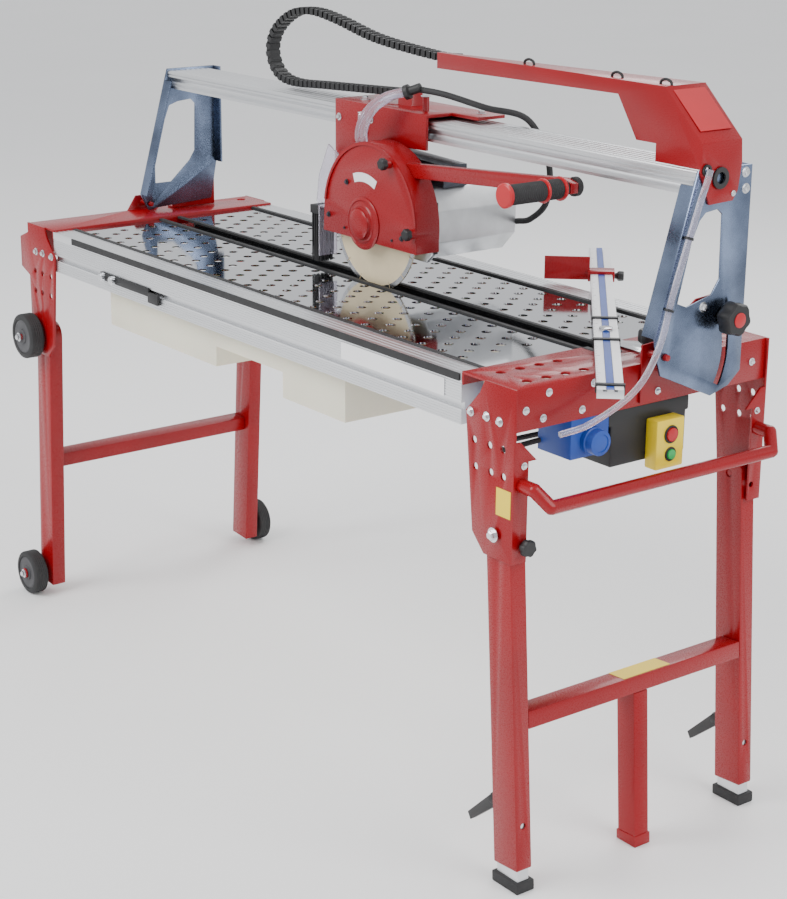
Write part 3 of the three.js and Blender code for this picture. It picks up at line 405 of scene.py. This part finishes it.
# ---- extrusions ----
def ribs(u0, v0, u1, v1, pitch, depth):
    """A row of shallow ridges from one point to another, standing in by depth between ridges."""
    length = math.hypot(u1 - u0, v1 - v0)
    count = max(1, round(length / pitch))
    du, dv = (u1 - u0) / length, (v1 - v0) / length
    inward = (-dv * depth, du * depth)
    out = []
    for i in range(count):
        for share, sunk in ((0.0, 0), (0.5, 0), (0.62, 1), (0.88, 1)):
            t = (i + share) / count * length
            out.append((u0 + du * t + inward[0] * sunk, v0 + dv * t + inward[1] * sunk))
    return out


def table_rail(side):
    """The ribbed side rail with its long groove; side is -1 in front and 1 behind."""
    node = "front_rail" if side < 0 else "rear_rail"
    (x0, _, z0), (x1, _, z1) = node_box(node)
    outer, inner = -262.0, -219.0
    face = [(outer, z0)] + ribs(outer, z0 + 0.5, outer, z0 + 22, 4.2, -0.7)
    face += [(outer, z0 + 24), (outer + 7, z0 + 24), (outer + 7, z0 + 34), (outer, z0 + 34)]
    face += ribs(outer, z0 + 36, outer, z0 + 66, 4.2, -0.7) + [(outer, z0 + 67), (outer, z1)]
    top = ribs(outer + 1, z1, inner - 3, z1, 10.5, -0.8)
    outline = face + top + [(inner, z1), (inner, z0)]
    work = bmesh.new()
    prism(work, [(u * -side, v) for u, v in outline], along_x, x0, x1)
    return settle(from_bmesh(node + "_extrusion", work), "satin_aluminium", "frame", [node])


def rail_strips():
    """Black strips along the rail's outer top edge, beside the panels and along the blade's slot."""
    work = bmesh.new()
    low, high = node_box("front_rail")
    for side in (-1, 1):
        y = side * 262.0
        block(work, low[0] + 80, high[0] - 4, min(y, y + side * 2.2), max(y, y + side * 2.2), 796, 807.6)
        inner = side * 219.0
        block(work, low[0] + 2, high[0] - 2, min(inner, inner - side * 9), max(inner, inner - side * 9), 805, 809.2)
    for y0, y1 in ((-17.5, -9.6), (26.6, 34.5)):
        block(work, low[0] + 2, high[0] - 2, y0, y1, 804.6, 808.6)
    return settle(from_bmesh("slot_strips", work), "black_rubber", "frame")


HOLE_PITCH_X = 51.0
HOLE_PITCH_Y = 33.0
HOLE_RADIUS = 8.5
HOLE_SIDES = 16
SHEET_THICK = 2.5


def perforated(node, y_first, y_last):
    """A sheet with staggered round holes, folded down at its long edges."""
    (x0, y0, _), (x1, y1, top) = node_box(node)
    work = bmesh.new()
    rows = int((y_last - y_first) / HOLE_PITCH_Y)
    margin_y = ((y1 - y0) - rows * HOLE_PITCH_Y) / 2
    plain = []
    for row in range(rows):
        low_y = y0 + margin_y + row * HOLE_PITCH_Y
        shift = HOLE_PITCH_X / 2 * (row % 2)
        columns = int((x1 - x0 - 60 - shift) / HOLE_PITCH_X)
        start = x0 + 30 + shift
        plain.append((x0, start, low_y, low_y + HOLE_PITCH_Y))
        plain.append((start + columns * HOLE_PITCH_X, x1, low_y, low_y + HOLE_PITCH_Y))
        for column in range(columns):
            left = start + column * HOLE_PITCH_X
            cell(work, left, low_y, top)
    plain += [(x0, x1, y0, y0 + margin_y), (x0, x1, y1 - margin_y, y1)]
    for a, b, c, d in plain:
        block(work, a, b, c, d, top - SHEET_THICK, top)
    for y in (y0, y1 - 2):
        block(work, x0, x1, y, y + 2, top - 12, top - SHEET_THICK)
    return settle(from_bmesh(node + "_sheet", work), "polished_steel", "frame", [node])


def cell(work, left, low_y, top):
    """One square of sheet with a round hole in it."""
    mid = (left + HOLE_PITCH_X / 2, low_y + HOLE_PITCH_Y / 2)
    half = (HOLE_PITCH_X / 2, HOLE_PITCH_Y / 2)
    rims = []
    for z in (top, top - SHEET_THICK):
        hole, edge = [], []
        for k in range(HOLE_SIDES):
            angle = 2 * math.pi * (k + 0.5) / HOLE_SIDES
            c, s = math.cos(angle), math.sin(angle)
            reach = min(half[0] / max(abs(c), 1e-9), half[1] / max(abs(s), 1e-9))
            hole.append(work.verts.new(at(mid[0] + HOLE_RADIUS * c, mid[1] + HOLE_RADIUS * s, z)))
            edge.append((mid[0] + reach * c, mid[1] + reach * s))
        corners = [(sx * half[0], sy * half[1]) for sx, sy in ((1, 1), (-1, 1), (-1, -1), (1, -1))]
        rim = [work.verts.new(at(*point, z)) for point in edge]
        corner = [work.verts.new(at(mid[0] + u, mid[1] + v, z)) for u, v in corners]
        rims.append(hole)
        for k in range(HOLE_SIDES):
            j = (k + 1) % HOLE_SIDES
            a, b = edge[k], edge[j]
            same = abs(a[0] - b[0]) < 1e-6 or abs(a[1] - b[1]) < 1e-6
            loop = [hole[k], rim[k]]
            if not same:
                sx = 1 if (a[0] + b[0]) / 2 > mid[0] else -1
                sy = 1 if (a[1] + b[1]) / 2 > mid[1] else -1
                loop.append(corner[[(1, 1), (-1, 1), (-1, -1), (1, -1)].index((sx, sy))])
            loop += [rim[j], hole[j]]
            work.faces.new(loop if z == top else list(reversed(loop)))
    for k in range(HOLE_SIDES):
        j = (k + 1) % HOLE_SIDES
        work.faces.new((rims[0][k], rims[0][j], rims[1][j], rims[1][k]))


def bridge_extrusion():
    (x0, y0, z0), (x1, y1, z1) = node_box("bridge_rail")
    front = [(y0, z0), (y0, z0 + 4)]
    front += [(y0 + 8 * math.sin(math.pi * i / 12), z0 + 5 + 18 * i / 12) for i in range(13)]
    front += [(y0, z0 + 24), (y0, z0 + 27), (y0 + 3, z0 + 27), (y0 + 3, z0 + 29), (y0, z0 + 29), (y0, z1 - 2),
              (y0 + 2, z1)]
    back = [(y0 + y1 - y, z) for y, z in reversed(front)]
    top = ribs(y0 + 5, z1, y1 - 5, z1, 12, -1.6)
    work = bmesh.new()
    prism(work, front + top + back, along_x, x0, x1)
    return settle(from_bmesh("bridge_extrusion", work), "satin_aluminium", "bridge", ["bridge_rail"])


# ---- wheels ----
def wheels():
    for node in ("wheel_low_front", "wheel_low_rear", "wheel_high_front", "wheel_high_rear"):
        (x0, y0, z0), (x1, y1, z1) = node_box(node)
        centre = ((x0 + x1) / 2, y0, (z0 + z1) / 2)
        radius = (z1 - z0) / 2
        depth = y1 - y0
        tyre = [(radius * 0.74, 3), (radius * 0.78, 0.5), (radius - 4, 0.8), (radius - 1, 3), (radius, 6)]
        tread = [(radius - (0 if i % 2 else 0.9), 7 + (depth - 14) * i / 8) for i in range(9)]
        tyre = tyre + tread + [(r, depth - h) for r, h in reversed(tyre)]
        work = bmesh.new()
        lathe(work, [(0, 6)] + tyre + [(0, depth - 6)], centre, (0, 1, 0), 48)
        settle(from_bmesh(node + "_tyre", work), "black_rubber", BODY_OF[node], [node])
        hub = bmesh.new()
        for face, way in ((y0, -1), (y1, 1)):
            spot = (centre[0], face - way * 3.2, centre[2])
            lathe(hub, [(0, -1), (radius * 0.73, -1), (radius * 0.73, 0.4), (radius * 0.66, 1.4),
                        (radius * 0.6, -0.2), (radius * 0.34, 0.2), (radius * 0.32, 3), (radius * 0.2, 3.1),
                        (0, 3.1)], spot, (0, way, 0), 40)
        settle(from_bmesh(node + "_hub", hub), "grey_rubber", BODY_OF[node])


# ---- hoses, chain and spring ----
CHAIN_WAY = [(168, 1209), (111, 1208), (-57, 1222), (-181, 1246), (-263, 1256), (-330, 1247), (-389, 1212),
             (-408, 1170), (-386, 1132), (-332, 1117), (-214, 1122), (19, 1134)]
CHAIN_PITCH = 15.0
CHAIN_Y = (87.0, 113.0)


def chain():
    """Box links with a step between their side plates, all along the bend."""
    points = [(x, 0, z) for x, z in CHAIN_WAY]
    length = sum(math.dist(a, b) for a, b in zip(points, points[1:]))
    count = round(length / CHAIN_PITCH)
    way = smooth_path(points, count)
    y0, y1 = CHAIN_Y
    mid_y = (y0 + y1) / 2
    work = bmesh.new()
    for a, b in zip(way, way[1:]):
        run = b - a
        across = Vector((-run.z, 0, run.x)).normalized()
        unit = run.normalized()
        for half, start, end, wide in ((6.4, 0.5, run.length * 0.62, 13.0), (5.4, -1.5, run.length + 1.5, 11.6),
                                       (6.9, run.length * 0.2, run.length * 0.42, 8.0)):
            corners = []
            for s, side in ((start, 1), (end, 1), (end, -1), (start, -1)):
                p = a + unit * s + across * half * side
                corners.append((p.x, p.z))
            prism(work, corners, along_y, mid_y - wide, mid_y + wide)
    piece = settle(from_bmesh("chain_links", work), "black_plastic", None, ["drag_chain"])
    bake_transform(piece)


def supply():
    node = node_box("supply_hose")
    x = node[1][0] - 8
    route = [(x + 2, 62, 1108), (x + 2, 56, 1090), (x + 2, 40, 1050), (x, 0, 930), (x, -24, 850),
             (x, -70, 790), (x - 6, -150, 752), (x - 14, -205, 742)]
    work = bmesh.new()
    tube(work, route, 5.0, 60, 16)
    hose = settle(from_bmesh("supply_tube", work), "clear_plastic", None, ["supply_hose"])
    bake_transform(hose)
    ties = bmesh.new()
    for y, z in ((26, 1009), (-8, 904)):
        lathe(ties, [(5.6, -2), (7.2, -2), (7.2, 2), (5.6, 2), (5.6, -2)], (x + 0.6, y, z), (0, 0.32, 0.95), 18)
    settle(from_bmesh("hose_ties", ties), "black_plastic", "bridge")


def head_hoses():
    work = bmesh.new()
    for shift in (0, 16):
        route = [(38 + shift, -14, 1050), (38 + shift, -16, 1078), (50 + shift, -8, 1112), (82 + shift, 8, 1140),
                 (120 + shift / 2, 24 + shift / 2, 1152)]
        tube(work, route, 6.5, 36, 16)
    settle(from_bmesh("water_tubes", work), "clear_plastic", "head")
    joint = bmesh.new()
    lathe(joint, [(0, 0), (13, 0), (13, 8), (8, 10), (8, 30), (0, 30)], (118, 26, 1149), (0.8, 0.45, 0.35), 20)
    settle(from_bmesh("water_joint", joint), "black_plastic", "head")
    lead = bmesh.new()
    tube(lead, [(134, 40, 1156), (185, 62, 1150), (248, 100, 1132), (288, 160, 1112), (305, 195, 1040),
                (285, 212, 965), (236, 218, 925), (198, 218, 915)], 5.5, 60, 14)
    settle(from_bmesh("motor_lead", lead), "black_rubber", "head")


def spring():
    (x0, y0, z0), (x1, y1, z1) = node_box("return_spring")
    cx, cy = (x0 + x1) / 2, (y0 + y1) / 2
    turns = 13
    points = []
    for i in range(turns * 10 + 1):
        angle = 2 * math.pi * i / 10
        points.append((cx + 5.2 * math.cos(angle), cy + 5.2 * math.sin(angle), z0 + 4 + (z1 - z0 - 8) * i / (turns * 10)))
    work = bmesh.new()
    tube(work, points, 1.2, turns * 16, 8)
    piece = settle(from_bmesh("spring_coil", work), "bright_zinc", None, ["return_spring"])
    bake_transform(piece)


# ---- head details ----
def motor_details():
    (x0, y0, z0), (x1, y1, z1) = node_box("motor")
    skin("motor", "cast_aluminium", 0.0025, 3)
    work = bmesh.new()
    block(work, 18, 205, 25.4, 33.8, z0 + 18, z1 - 16)
    plate = bevelled(from_bmesh("motor_flange", work), 0.001)
    settle(plate, "black_plastic", "head")
    end = bmesh.new()
    lathe(end, [(0, 0), (34, 0), (34, 3), (30, 4), (12, 4), (12, 6), (0, 6)], (138, y1 - 2, 923), (0, 1, 0), 32)
    settle(from_bmesh("motor_end_cap", end), "black_plastic", "head")
    places = [((x, y1 - 1, z), (0, 1, 0), 4.5) for x in (104, 172) for z in (z0 + 24, z1 - 24)]
    places += [((x, 31, z), (0, -1, 0), 4.5) for x in (197,) for z in (z0 + 24, z1 - 24)]
    bolts("motor_bolts", "head", places)


def guard_details():
    front = -25.4
    places = [((15, front, 984), (0, -1, 0), 4.5), ((-41, front, 917), (0, -1, 0), 4.5),
              ((178, front, 908), (0, -1, 0), 4.5), ((8, front, 900), (0, -1, 0), 2.2),
              ((150, front, 900), (0, -1, 0), 2.2)]
    bolts("guard_bolts", "head", places, "dark_steel")
    rim = bmesh.new()
    turns = [math.radians(172 - 4.5 * i) for i in range(41)]
    outline = [(82 + 137 * math.cos(a), 925 + 137 * math.sin(a)) for a in turns]
    outline += [(82 + 131.8 * math.cos(a), 925 + 131.8 * math.sin(a)) for a in reversed(turns)]
    prism(rim, outline, along_y, front - 1.8, front + 0.3)
    settle(from_bmesh("guard_rim", rim), "red_paint", "head")
    arc = bmesh.new()
    outline = [(64 + 88 * math.cos(math.radians(a)), 919 + 88 * math.sin(math.radians(a))) for a in range(62, 116, 6)]
    outline += [(64 + 72 * math.cos(math.radians(a)), 919 + 72 * math.sin(math.radians(a)))
                for a in range(110, 61, -6)]
    prism(arc, outline, along_y, front - 0.5, front + 0.2)
    settle(from_bmesh("guard_label", arc), "white_print", "head")
    hub = bmesh.new()
    lathe(hub, [(0, 0), (47, 0), (47, 2), (43.5, 4.2), (41.5, 4.4), (40, 3), (36, 3), (34.5, 5.2), (32, 6.4),
                (29.5, 6), (28, 7.5), (27, 12), (23, 14.6), (12, 15.6), (0, 15.8)], (66, front + 0.3, 917),
          (0, -1, 0), 64)
    settle(from_bmesh("guard_hub", hub), "red_paint", "head")
    caps = bmesh.new()
    for x, z in ((142, 1034), (212, 922)):
        lathe(caps, [(0, 0), (10.5, 0), (10.5, 9), (8, 11), (0, 11)], (x, front - 10.5, z), (0, -1, 0), 30, 6, 0.16)
    settle(from_bmesh("guard_knobs", caps), "black_plastic", "head")
    clear = bmesh.new()
    outline = [(-58, 1020), (-52, 930), (-100, 905), (-128, 925), (-120, 975), (-90, 1035)]
    prism(clear, outline, along_y, 8, 10.5)
    settle(from_bmesh("clear_side_shield", clear), "clear_plastic", "head")


BLADE_SLOTS = 16


def blade_details():
    (x0, y0, z0), (x1, y1, z1) = node_box("blade")
    cx, cz, radius = (x0 + x1) / 2, (z0 + z1) / 2, (z1 - z0) / 2
    work = bmesh.new()
    outline = []
    for i in range(BLADE_SLOTS):
        start = 2 * math.pi * i / BLADE_SLOTS
        for share in (0.0, 0.2, 0.4, 0.6, 0.8, 0.972):
            a = start + 2 * math.pi / BLADE_SLOTS * share
            outline.append((cx + radius * math.cos(a), cz + radius * math.sin(a)))
        for share, r in ((0.972, 0.9), (0.986, 0.885), (1.0, 0.9)):
            a = start + 2 * math.pi / BLADE_SLOTS * share
            outline.append((cx + radius * r * math.cos(a), cz + radius * r * math.sin(a)))
    prism(work, outline, along_y, y0 + 0.2, y1 - 0.2)
    settle(from_bmesh("blade_core", work), "ivory_steel", "blade", ["blade"])
    rim = bmesh.new()
    for i in range(BLADE_SLOTS):
        angles = [2 * math.pi / BLADE_SLOTS * (i + s) for s in (0.01, 0.33, 0.66, 0.965)]
        outline = [(cx + radius * math.cos(a), cz + radius * math.sin(a)) for a in angles]
        outline += [(cx + radius * 0.93 * math.cos(a), cz + radius * 0.93 * math.sin(a)) for a in reversed(angles)]
        prism(rim, outline, along_y, y0 - 0.25, y1 + 0.25)
    settle(from_bmesh("blade_segments", rim), "bright_zinc", "blade")


def grip_details():
    (x0, y0, z0), (x1, y1, z1) = node_box("handle_grip")
    cx, cz = (x0 + x1) / 2, (z0 + z1) / 2
    rubber, red = bmesh.new(), bmesh.new()
    length = -8.4 - y0
    profile = [(0, 6), (15, 6)]
    profile += [(16.2 if i % 2 else 15.2, 8 + (length - 14) * i / 60) for i in range(61)]
    profile += [(15, length - 2), (0, length - 2)]
    lathe(rubber, profile, (cx, y0, cz), (0, 1, 0), 32)
    lathe(rubber, [(0, 0), (15, 0), (15.5, 2), (15.5, 9), (14, 11), (0, 11)], (cx, 8.4, cz), (0, 1, 0), 32)
    settle(from_bmesh("grip_rubber", rubber), "black_rubber", "head", ["handle_grip"])
    lathe(red, [(0, 0), (17, 0), (19.5, 2), (19.5, 7), (17.5, 8.5), (0, 8.5)], (cx, y0, cz), (0, 1, 0), 36)
    for share in (0.62, 0.9):
        lathe(red, [(16, 0), (19, 0.4), (19.6, 2.5), (19, 4.6), (16, 5)], (cx, y0 + length * share, cz), (0, 1, 0), 36)
    settle(from_bmesh("grip_rings", red), "red_plastic", "head")


def brush_details():
    (x0, y0, z0), (x1, y1, z1) = node_box("brush")
    work = bmesh.new()
    block(work, x0, x1, y0, y1, z1 - 16, z1)
    settle(bevelled(from_bmesh("brush_holder", work), 0.001), "black_plastic", "head", ["brush"])
    hair = bmesh.new()
    count = 12
    for i in range(count):
        for j in range(4):
            x = x0 + 2 + (x1 - x0 - 4) * (j + 0.5) / 4
            y = y0 + 1 + (y1 - y0 - 2) * (i + 0.5) / count
            lean = 1.6 * math.sin(i * 2.3 + j * 1.7)
            tube(hair, [(x, y, z1 - 15), (x + lean * 0.4, y, (z0 + z1) / 2), (x + lean, y + lean * 0.4, z0)], 1.5, 5, 6)
    settle(from_bmesh("brush_hair", hair), "black_rubber", "head")


# ---- arm, uprights and knobs ----
def arm_details():
    loops = bmesh.new()
    for x in (397, 605, 712):
        tube(loops, [(x - 12, 66, 1221), (x - 10, 66, 1227), (x, 66, 1230), (x + 10, 66, 1227), (x + 12, 66, 1221)],
             2.2, 18, 8)
    settle(from_bmesh("arm_loops", loops), "black_rubber", "bridge")
    grommet = bmesh.new()
    lathe(grommet, [(9, 0), (16.5, 0), (16.5, 2.5), (9, 2.5), (9, 0)], (809, 92, 1092), (1, 0, 0), 28)
    lathe(grommet, [(5.4, 0), (9, 0), (9, 3), (5.4, 3), (5.4, 0)], (808.5, 62, 1106), (1, 0, 0), 24)
    settle(from_bmesh("arm_grommets", grommet), "black_rubber", "bridge")
    places = [((804.9, 150, 1095), (1, 0, 0), 7), ((804.9, 152, 1070), (1, 0, 0), 7),
              ((808.4, 122, 1066), (1, 0, 0), 4), ((804.9, 74, 896), (1, 0, 0), 7)]
    bolts("arm_bolts", "bridge", places)
    left = [((-734.1, 113, 893), (-1, 0, 0), 6), ((-734.1, 140, 900), (-1, 0, 0), 6)]
    left += [((-734.1, 60, 1090), (-1, 0, 0), 6), ((-734.1, 140, 1090), (-1, 0, 0), 6)]
    bolts("left_upright_bolts", "bridge", left)


def fluted(name, centre, axis, radius, depth, body, node, cap=None, lobes=6):
    work = bmesh.new()
    lathe(work, [(0, 0), (radius * 0.55, 0), (radius * 0.62, depth * 0.2), (radius * 0.96, depth * 0.36),
                 (radius, depth * 0.5), (radius * 0.97, depth * 0.88), (radius * 0.86, depth), (0, depth)],
          centre, axis, 72, lobes, 0.13)
    settle(from_bmesh(name, work), "black_plastic", body, [node] if node else [])
    if cap:
        face = Vector(centre) + Vector(axis).normalized() * depth
        disc = bmesh.new()
        lathe(disc, [(0, -1), (radius * 0.42, -1), (radius * 0.42, 1.2), (radius * 0.34, 2.2), (0, 2.4)], face,
              axis, 32)
        settle(from_bmesh(name + "_cap", disc), cap, body)


def knobs():
    (x0, y0, z0), (x1, y1, z1) = node_box("right_tilt_knob")
    cy, cz = (y0 + y1) / 2, (z0 + z1) / 2
    fluted("tilt_knob_grip", (x0 + 38, cy, cz), (1, 0, 0), 28, x1 - x0 - 38, "tilt_knob", "right_tilt_knob",
           "red_plastic")
    washer = bmesh.new()
    lathe(washer, [(0, 0), (15, 0), (15, 3), (9, 3.2), (9, 6), (0, 6)], (x0 + 34, cy, cz), (1, 0, 0), 30)
    settle(from_bmesh("tilt_knob_washer", washer), "bright_zinc", "tilt_knob")
    (x0, y0, z0), (x1, y1, z1) = node_box("gauge_knob")
    fluted("gauge_knob_grip", ((x0 + x1) / 2, (y0 + y1) / 2, z0), (0, 0, 1), 18, z1 - z0, "gauge_knob",
           "gauge_knob", "red_plastic")
    (x0, y0, z0), (x1, y1, z1) = node_box("right_front_lock")
    fluted("lock_knob_grip", (x0 + 4, (y0 + y1) / 2, (z0 + z1) / 2), (1, 0, 0), 14, x1 - x0 - 4, "leg_lock",
           "right_front_lock")


# ---- ruler ----
RULER_FAR = Vector((151, 467, 0))
RULER_NEAR = Vector((889, -191, 0))
RULER_ALONG = (RULER_NEAR - RULER_FAR).normalized()
RULER_ACROSS = Vector((-RULER_ALONG.y, RULER_ALONG.x, 0))
RULER_LENGTH = 990


def on_ruler(s, n, z):
    p = RULER_FAR + RULER_ALONG * s + RULER_ACROSS * n
    return (p.x, p.y, z)


def ruler_block(work, s0, s1, n0, n1, z0, z1):
    corners = [on_ruler(s, n, 0)[:2] for s, n in ((s0, n0), (s1, n0), (s1, n1), (s0, n1))]
    prism(work, corners, along_z, z0, z1)


def ruler():
    top = node_box("ruler_bar")[1][2]
    skin("ruler_bar", "satin_aluminium", 0.0006)
    print_ = bmesh.new()
    ruler_block(print_, 2, RULER_LENGTH - 2, -5.5, 5.5, top - 0.2, top + 0.25)
    settle(from_bmesh("ruler_blue_stripe", print_), "blue_plastic", "ruler")
    white = bmesh.new()
    for n0, n1 in ((-19.2, -6.2), (6.2, 19.2)):
        ruler_block(white, 2, RULER_LENGTH - 2, n0, n1, top - 0.25, top + 0.2)
    settle(from_bmesh("ruler_white_faces", white), "white_print", "ruler")
    ticks = bmesh.new()
    for i in range(1, 98):
        reach = 7 if i % 10 == 0 else 5 if i % 5 == 0 else 3
        ruler_block(ticks, i * 10 - 0.4, i * 10 + 0.4, -19, -19 + reach, top, top + 0.32)
    settle(from_bmesh("ruler_ticks", ticks), "dark_steel", "ruler")
    clamps = bmesh.new()
    for s in (560, 700, 962):
        ruler_block(clamps, s, s + 9, -21.5, 21.5, top + 0.1, top + 3)
        ruler_block(clamps, s, s + 9, -21.5, -19.9, top - 10, top + 1)
        ruler_block(clamps, s, s + 9, 19.9, 21.5, top - 10, top + 1)
    settle(from_bmesh("ruler_clamps", clamps), "black_plastic", "ruler")
    (x0, y0, z0), (x1, y1, z1) = node_box("stop_knob")
    face = on_ruler(221, 20.5 + 4, (z0 + z1) / 2)
    fluted("stop_knob_grip", face, tuple(RULER_ACROSS), 9, 16, "stop_knob", "stop_knob")


# ---- fittings of the table and legs ----
BRACKET_BOLTS = [(670, 757), (707, 758), (737, 757), (693, 600)]
SKIRT_BOLTS = [(-243, 777), (-199, 798), (-209, 760), (-132, 760), (-110, 798), (120, 790), (232, 777)]


def fasteners():
    places = []
    for sx in (-1, 1):
        for sy in (-1, 1):
            places += [((sx * x, sy * 266.4, z), (0, sy, 0), 6.5) for x, z in BRACKET_BOLTS[:3]]
            if sx > 0:
                places.append(((733, sy * 271.2, 580), (0, sy, 0), 10))
    places += [((767.1, y, z), (1, 0, 0), 5.5) for y, z in SKIRT_BOLTS]
    places += [((771.4, -247, 694), (1, 0, 0), 5), ((771.4, 247, 694), (1, 0, 0), 5)]
    places += [((771.4, y, z), (1, 0, 0), 5) for y, z in ((20, 765), (120, 765), (128, 890))]
    bolts("table_bolts", "frame", places)
    hubs = [((-752, sy * 307.6, 580), (0, sy, 0), 8) for sy in (-1, 1)]
    hubs += [((-733, sy * 269.5, 580), (0, sy, 0), 10) for sy in (-1, 1)]
    bolts("high_axle_nuts", "frame", hubs)
    bolts("low_axle_nuts", "left_legs", [((-788, sy * 307.6, 46.5), (0, sy, 0), 8) for sy in (-1, 1)])
    carriage = [((-98, 38.9, 1082), (0, -1, 0), 6), ((1, 38.9, 1088), (0, -1, 0), 6),
                ((120, 70, 1140), (0, 0, 1), 8), ((-60, 70, 1114), (0, 0, 1), 8), ((200, 130, 1114), (0, 0, 1), 7),
                ((-75, 38.9, 1012), (0, -1, 0), 8)]
    bolts("carriage_bolts", "carriage", carriage)


def side_bar():
    """The black slotted bar held on the front rail by two knurled nuts."""
    work = bmesh.new()
    block(work, -470, -286, -266, -262.3, 748, 764)
    block(work, -286, -249, -268, -262.3, 738, 758)
    settle(bevelled(from_bmesh("side_bar", work), 0.0012), "black_plastic", "frame")
    nuts = bmesh.new()
    for x in (-455, -415):
        lathe(nuts, [(0, 0), (8, 0), (8.5, 2), (8.5, 9), (7, 10), (0, 10)], (x, -266, 756), (0, -1, 0), 36, 18, 0.06)
    settle(from_bmesh("side_bar_nuts", nuts), "bright_zinc", "frame")


def labels():
    work = bmesh.new()
    block(work, 733, 766, -267.0, -266.35, 612, 655)
    settle(from_bmesh("bracket_label", work), "yellow_plastic", "frame")
    lower = bmesh.new()
    tilt = math.radians(4)
    corners = []
    for x, z in ((723, 294.15), (759, 294.15), (759, 294.8), (723, 294.8)):
        dx, dz = x - 733, z - 580
        corners.append((733 + dx * math.cos(tilt) - dz * math.sin(tilt), 580 + dx * math.sin(tilt) + dz * math.cos(tilt)))
    prism(lower, corners, along_y, -30, 72)
    settle(from_bmesh("crossbar_label", lower), "yellow_plastic", "right_legs")
    rail = bmesh.new()
    block(rail, 330, 600, -262.9, -262.1, 764, 792)
    settle(from_bmesh("rail_plate", rail), "white_print", "frame")
    arm = bmesh.new()
    prism(arm, [(734, 1216.8), (795, 1162.4), (794.3, 1161.6), (733.3, 1216)], along_y, 60, 126)
    settle(from_bmesh("arm_plate", arm), "red_plastic", "bridge")


def insert():
    """The black rounded insert in the end plate's notch."""
    work = bmesh.new()
    x0 = node_box("right_end_plate")[0][0]
    outline = [(x0 + 1, -21.5), (x0 + 38, -21.5)]
    outline += [(x0 + 38 + 21.5 * math.cos(math.radians(a)), 21.5 * math.sin(math.radians(a))) for a in range(-80, 81, 16)]
    outline += [(x0 + 38, 21.5), (x0 + 1, 21.5), (x0 + 1, 12), (x0 + 40, 12), (x0 + 46, 0), (x0 + 40, -9), (x0 + 1, -9)]
    prism(work, outline, along_z, 803, 812.4)
    settle(bevelled(from_bmesh("notch_insert", work), 0.0012), "black_plastic", "frame")


def slot_channel():
    """The black trough under the blade's slot."""
    low, high = node_box("front_rail")
    work = bmesh.new()
    block(work, low[0] + 3, high[0] - 3, -12.4, -10.4, 782, 804)
    block(work, low[0] + 3, high[0] - 3, 27.4, 29.4, 782, 804)
    block(work, low[0] + 3, high[0] - 3, -12.4, 29.4, 780, 782)
    settle(from_bmesh("slot_trough", work), "black_plastic", "frame")


def foot_pads():
    """Rubber shoes around the two feet's caps."""
    for node, body in (("right_front_foot", "front_foot"), ("right_rear_foot", "rear_foot")):
        (_, y0, _), (x1, y1, _) = node_box(node)
        work = bmesh.new()
        prism(work, [(x1 - 61, 0), (x1 + 0.8, 0), (x1 - 0.3, 18), (x1 - 62, 18)], along_y, y0 - 1, y1 + 1)
        settle(bevelled(from_bmesh(node + "_pad", work), 0.002), "black_rubber", body)


def lead_and_switch():
    work = bmesh.new()
    tube(work, [(700, -140, 700), (680, -165, 690), (650, -185, 676), (610, -150, 672), (655, -60, 690)], 4.5, 40, 12)
    settle(from_bmesh("box_lead", work), "black_rubber", "frame")
    (x0, y0, z0), (x1, y1, z1) = node_box("power_inlet")
    cap = bmesh.new()
    lathe(cap, [(0, 0), (21, 0), (22, 3), (22, 9), (18, 11), (18, 24), (14, 25), (14, 12), (0, 12)],
          (x1 - 24, -110, 708), (1, 0, 0), 36)
    settle(from_bmesh("inlet_collar", cap), "blue_plastic", "frame")
    face = node_box("switch_housing")[1][0]
    trim = bmesh.new()
    for (y, z, r) in ((35, 697, 11), (35, 665, 8)):
        lathe(trim, [(r + 0.8, -1), (r + 3.4, -1), (r + 3.4, 1.4), (r + 2.6, 2.2), (r + 0.8, 2.2), (r + 0.8, -1)],
              (face, y, z), (1, 0, 0), 32)
    settle(from_bmesh("button_collars", trim), "black_plastic", "frame")


# ---- floor and light ----
def studio():
    bpy.ops.mesh.primitive_plane_add(size=400, location=(0, 0, -0.0005))
    floor = bpy.context.object
    floor.name = "studio_floor"
    floor.data.materials.append(surface("studio_floor", (0.93, 0.93, 0.93), 0.8, spread=0.01, cloud=1, bump=0.0))
    world = bpy.data.worlds.new("studio")
    bpy.context.scene.world = world
    world.use_nodes = True
    back = world.node_tree.nodes["Background"]
    back.inputs["Color"].default_value = (0.97, 0.98, 1.0, 1)
    back.inputs["Strength"].default_value = 1.0
    for name, place, size, power in (("key", (-0.6, -3.4, 3.6), 2.6, 150), ("side", (3.6, 0.6, 3.0), 2.2, 80),
                                     ("rim", (-1.5, 3.2, 3.4), 2.4, 70)):
        data = bpy.data.lights.new(name, "AREA")
        data.size = size
        data.energy = power
        lamp = bpy.data.objects.new(name, data)
        bpy.context.scene.collection.objects.link(lamp)
        lamp.location = place
        lamp.rotation_euler = (Vector((0, 0, 0.7)) - Vector(place)).to_track_quat("-Z", "Y").to_euler()


make_skins()
table_rail(-1)
table_rail(1)
rail_strips()
perforated("front_panel", -215, -14)
perforated("rear_panel", 30, 215)
bridge_extrusion()
wheels()
chain()
supply()
head_hoses()
spring()
motor_details()
guard_details()
blade_details()
grip_details()
brush_details()
arm_details()
knobs()
ruler()
fasteners()
side_bar()
labels()
insert()
lead_and_switch()
slot_channel()
foot_pads()
studio()
